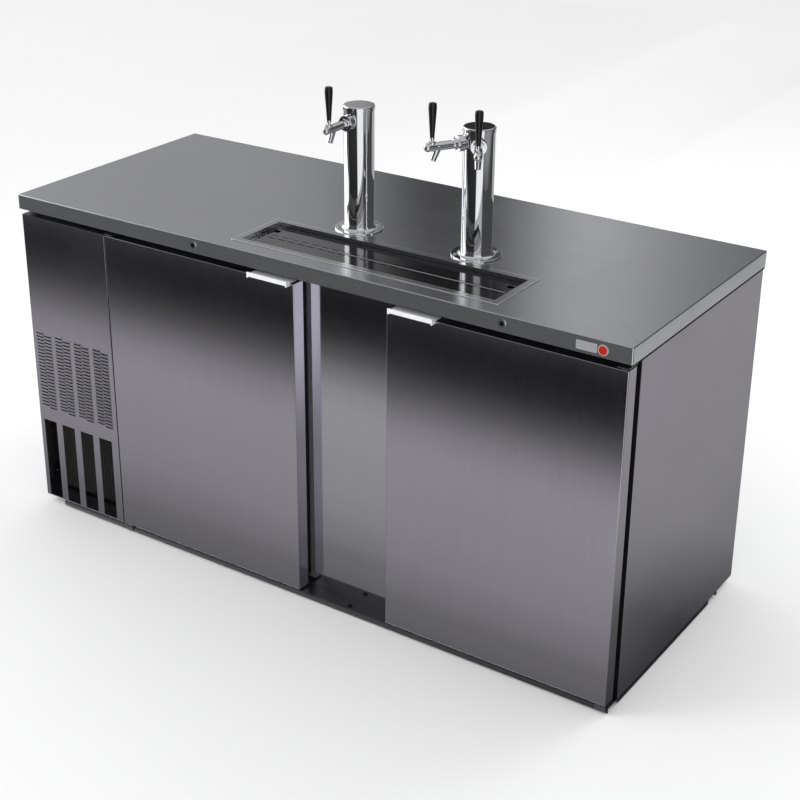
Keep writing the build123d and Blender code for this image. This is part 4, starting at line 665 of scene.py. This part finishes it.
# a sky that only reflections see. Near the horizon its tone goes by the compass, in degrees
# from +X towards +Y, and higher up it is even.
DOME_RADIUS, DOME_SEGMENTS, DOME_RINGS = 9.0, 48, 24
SKY_STRENGTH = 2.5  # the SKY tones are multiplied by this
SKY = (
    (-180, 0.88), (-147, 0.88), (-138, 0.03), (-76, 0.03), (-68, 0.28), (-28, 0.28), (-20, 0.03),
    (80, 0.03), (102, 0.07), (107, 0.12), (109.5, 0.18), (111.5, 0.245), (113.5, 0.25),
    (115.2, 0.17), (116.8, 0.055), (118.2, 0.012), (122.5, 0.015), (125.5, 0.12), (129, 0.16),
    (146, 0.165), (153, 0.88), (180, 0.88),
)
ZENITH = (0.5, 0.5, 0.51)
BAND_FADE_LOW, BAND_FADE_HIGH = 5.0, 6.4  # heights over which the compass tones fade upward


def sky_glow(name):
    """The sky's tones by the compass, fading upward to an even one."""
    n = Nodes(name)
    turn = n.maths("ARCTAN2", n.axis("Y"), n.axis("X"))
    share = n.span(turn, 0.0, 1.0, -math.pi, math.pi)
    compass = ramp(n, share, [((degrees + 180) / 360, tone) for degrees, tone in SKY])
    upward = n.span(n.axis("Z"), 0.0, 1.0, BAND_FADE_LOW, BAND_FADE_HIGH)
    even = tuple(tone / SKY_STRENGTH for tone in ZENITH)
    return glow(n, n.mix(upward, compass, even), SKY_STRENGTH)


bpy.ops.mesh.primitive_uv_sphere_add(
    segments=DOME_SEGMENTS, ring_count=DOME_RINGS, radius=DOME_RADIUS
)
dome = bpy.context.object
dome.name = "studio_dome"
dome.data.materials.append(sky_glow("studio_dome"))
show_in_reflections_only(dome)

# pale floor
FLOOR_SIZE = 60
FLOOR_TONES = (0.86, 0.86, 0.86), (0.88, 0.88, 0.88)
bpy.ops.mesh.primitive_plane_add(size=FLOOR_SIZE)
floor = bpy.context.object
floor.name = "studio_floor"
floor_nodes = Nodes("studio_floor")
floor_tone = floor_nodes.noise(1.5, 3, 0.5)
floor.data.materials.append(floor_nodes.surface(
    Base_Color=floor_nodes.mix(floor_tone, *FLOOR_TONES),
    Roughness=0.9,
))
floor.visible_glossy = False

world = bpy.data.worlds.new("studio")
scene.world = world
world.use_nodes = True
world.node_tree.nodes["Background"].inputs["Color"].default_value = (1, 1, 1, 1)
world.node_tree.nodes["Background"].inputs["Strength"].default_value = 1.0
world.cycles_visibility.glossy = False
scene.view_settings.view_transform = "Standard"


def softbox(name, at, aim, width, height, power):
    """A soft area light."""
    data = bpy.data.lights.new(name, "AREA")
    data.shape = "RECTANGLE"
    data.size = width
    data.size_y = height
    data.energy = power
    lamp = bpy.data.objects.new(name, data)
    lamp.location = at
    lamp.rotation_euler = (Vector(aim) - Vector(at)).to_track_quat("-Z", "Y").to_euler()
    lamp.visible_glossy = False
    scene.collection.objects.link(lamp)


softbox("key_light", (-2.6, -3.0, 3.4), (0, 0, 0.7), 1.6, 1.2, 60)
softbox("back_light", (1.6, 3.2, 2.6), (0, 0, 0.9), 2.4, 0.8, 40)

# ---------------------------------------------------------------- camera
CAMERA_AT = (2.2027, -3.1828, 2.2655)
CAMERA_AZIMUTH, CAMERA_ELEVATION = 34.79, 23.7  # degrees
LENS, SENSOR_WIDTH, SHIFT_X, SHIFT_Y = 71.54, 36, 0.0375, -0.0565
camera_data = bpy.data.cameras.new("camera")
camera_data.lens = LENS
camera_data.sensor_width = SENSOR_WIDTH
camera_data.shift_x = SHIFT_X
camera_data.shift_y = SHIFT_Y
camera = bpy.data.objects.new("camera", camera_data)
camera.location = CAMERA_AT
camera.rotation_euler = (math.radians(90 - CAMERA_ELEVATION), 0, math.radians(CAMERA_AZIMUTH))
scene.collection.objects.link(camera)
scene.camera = camera
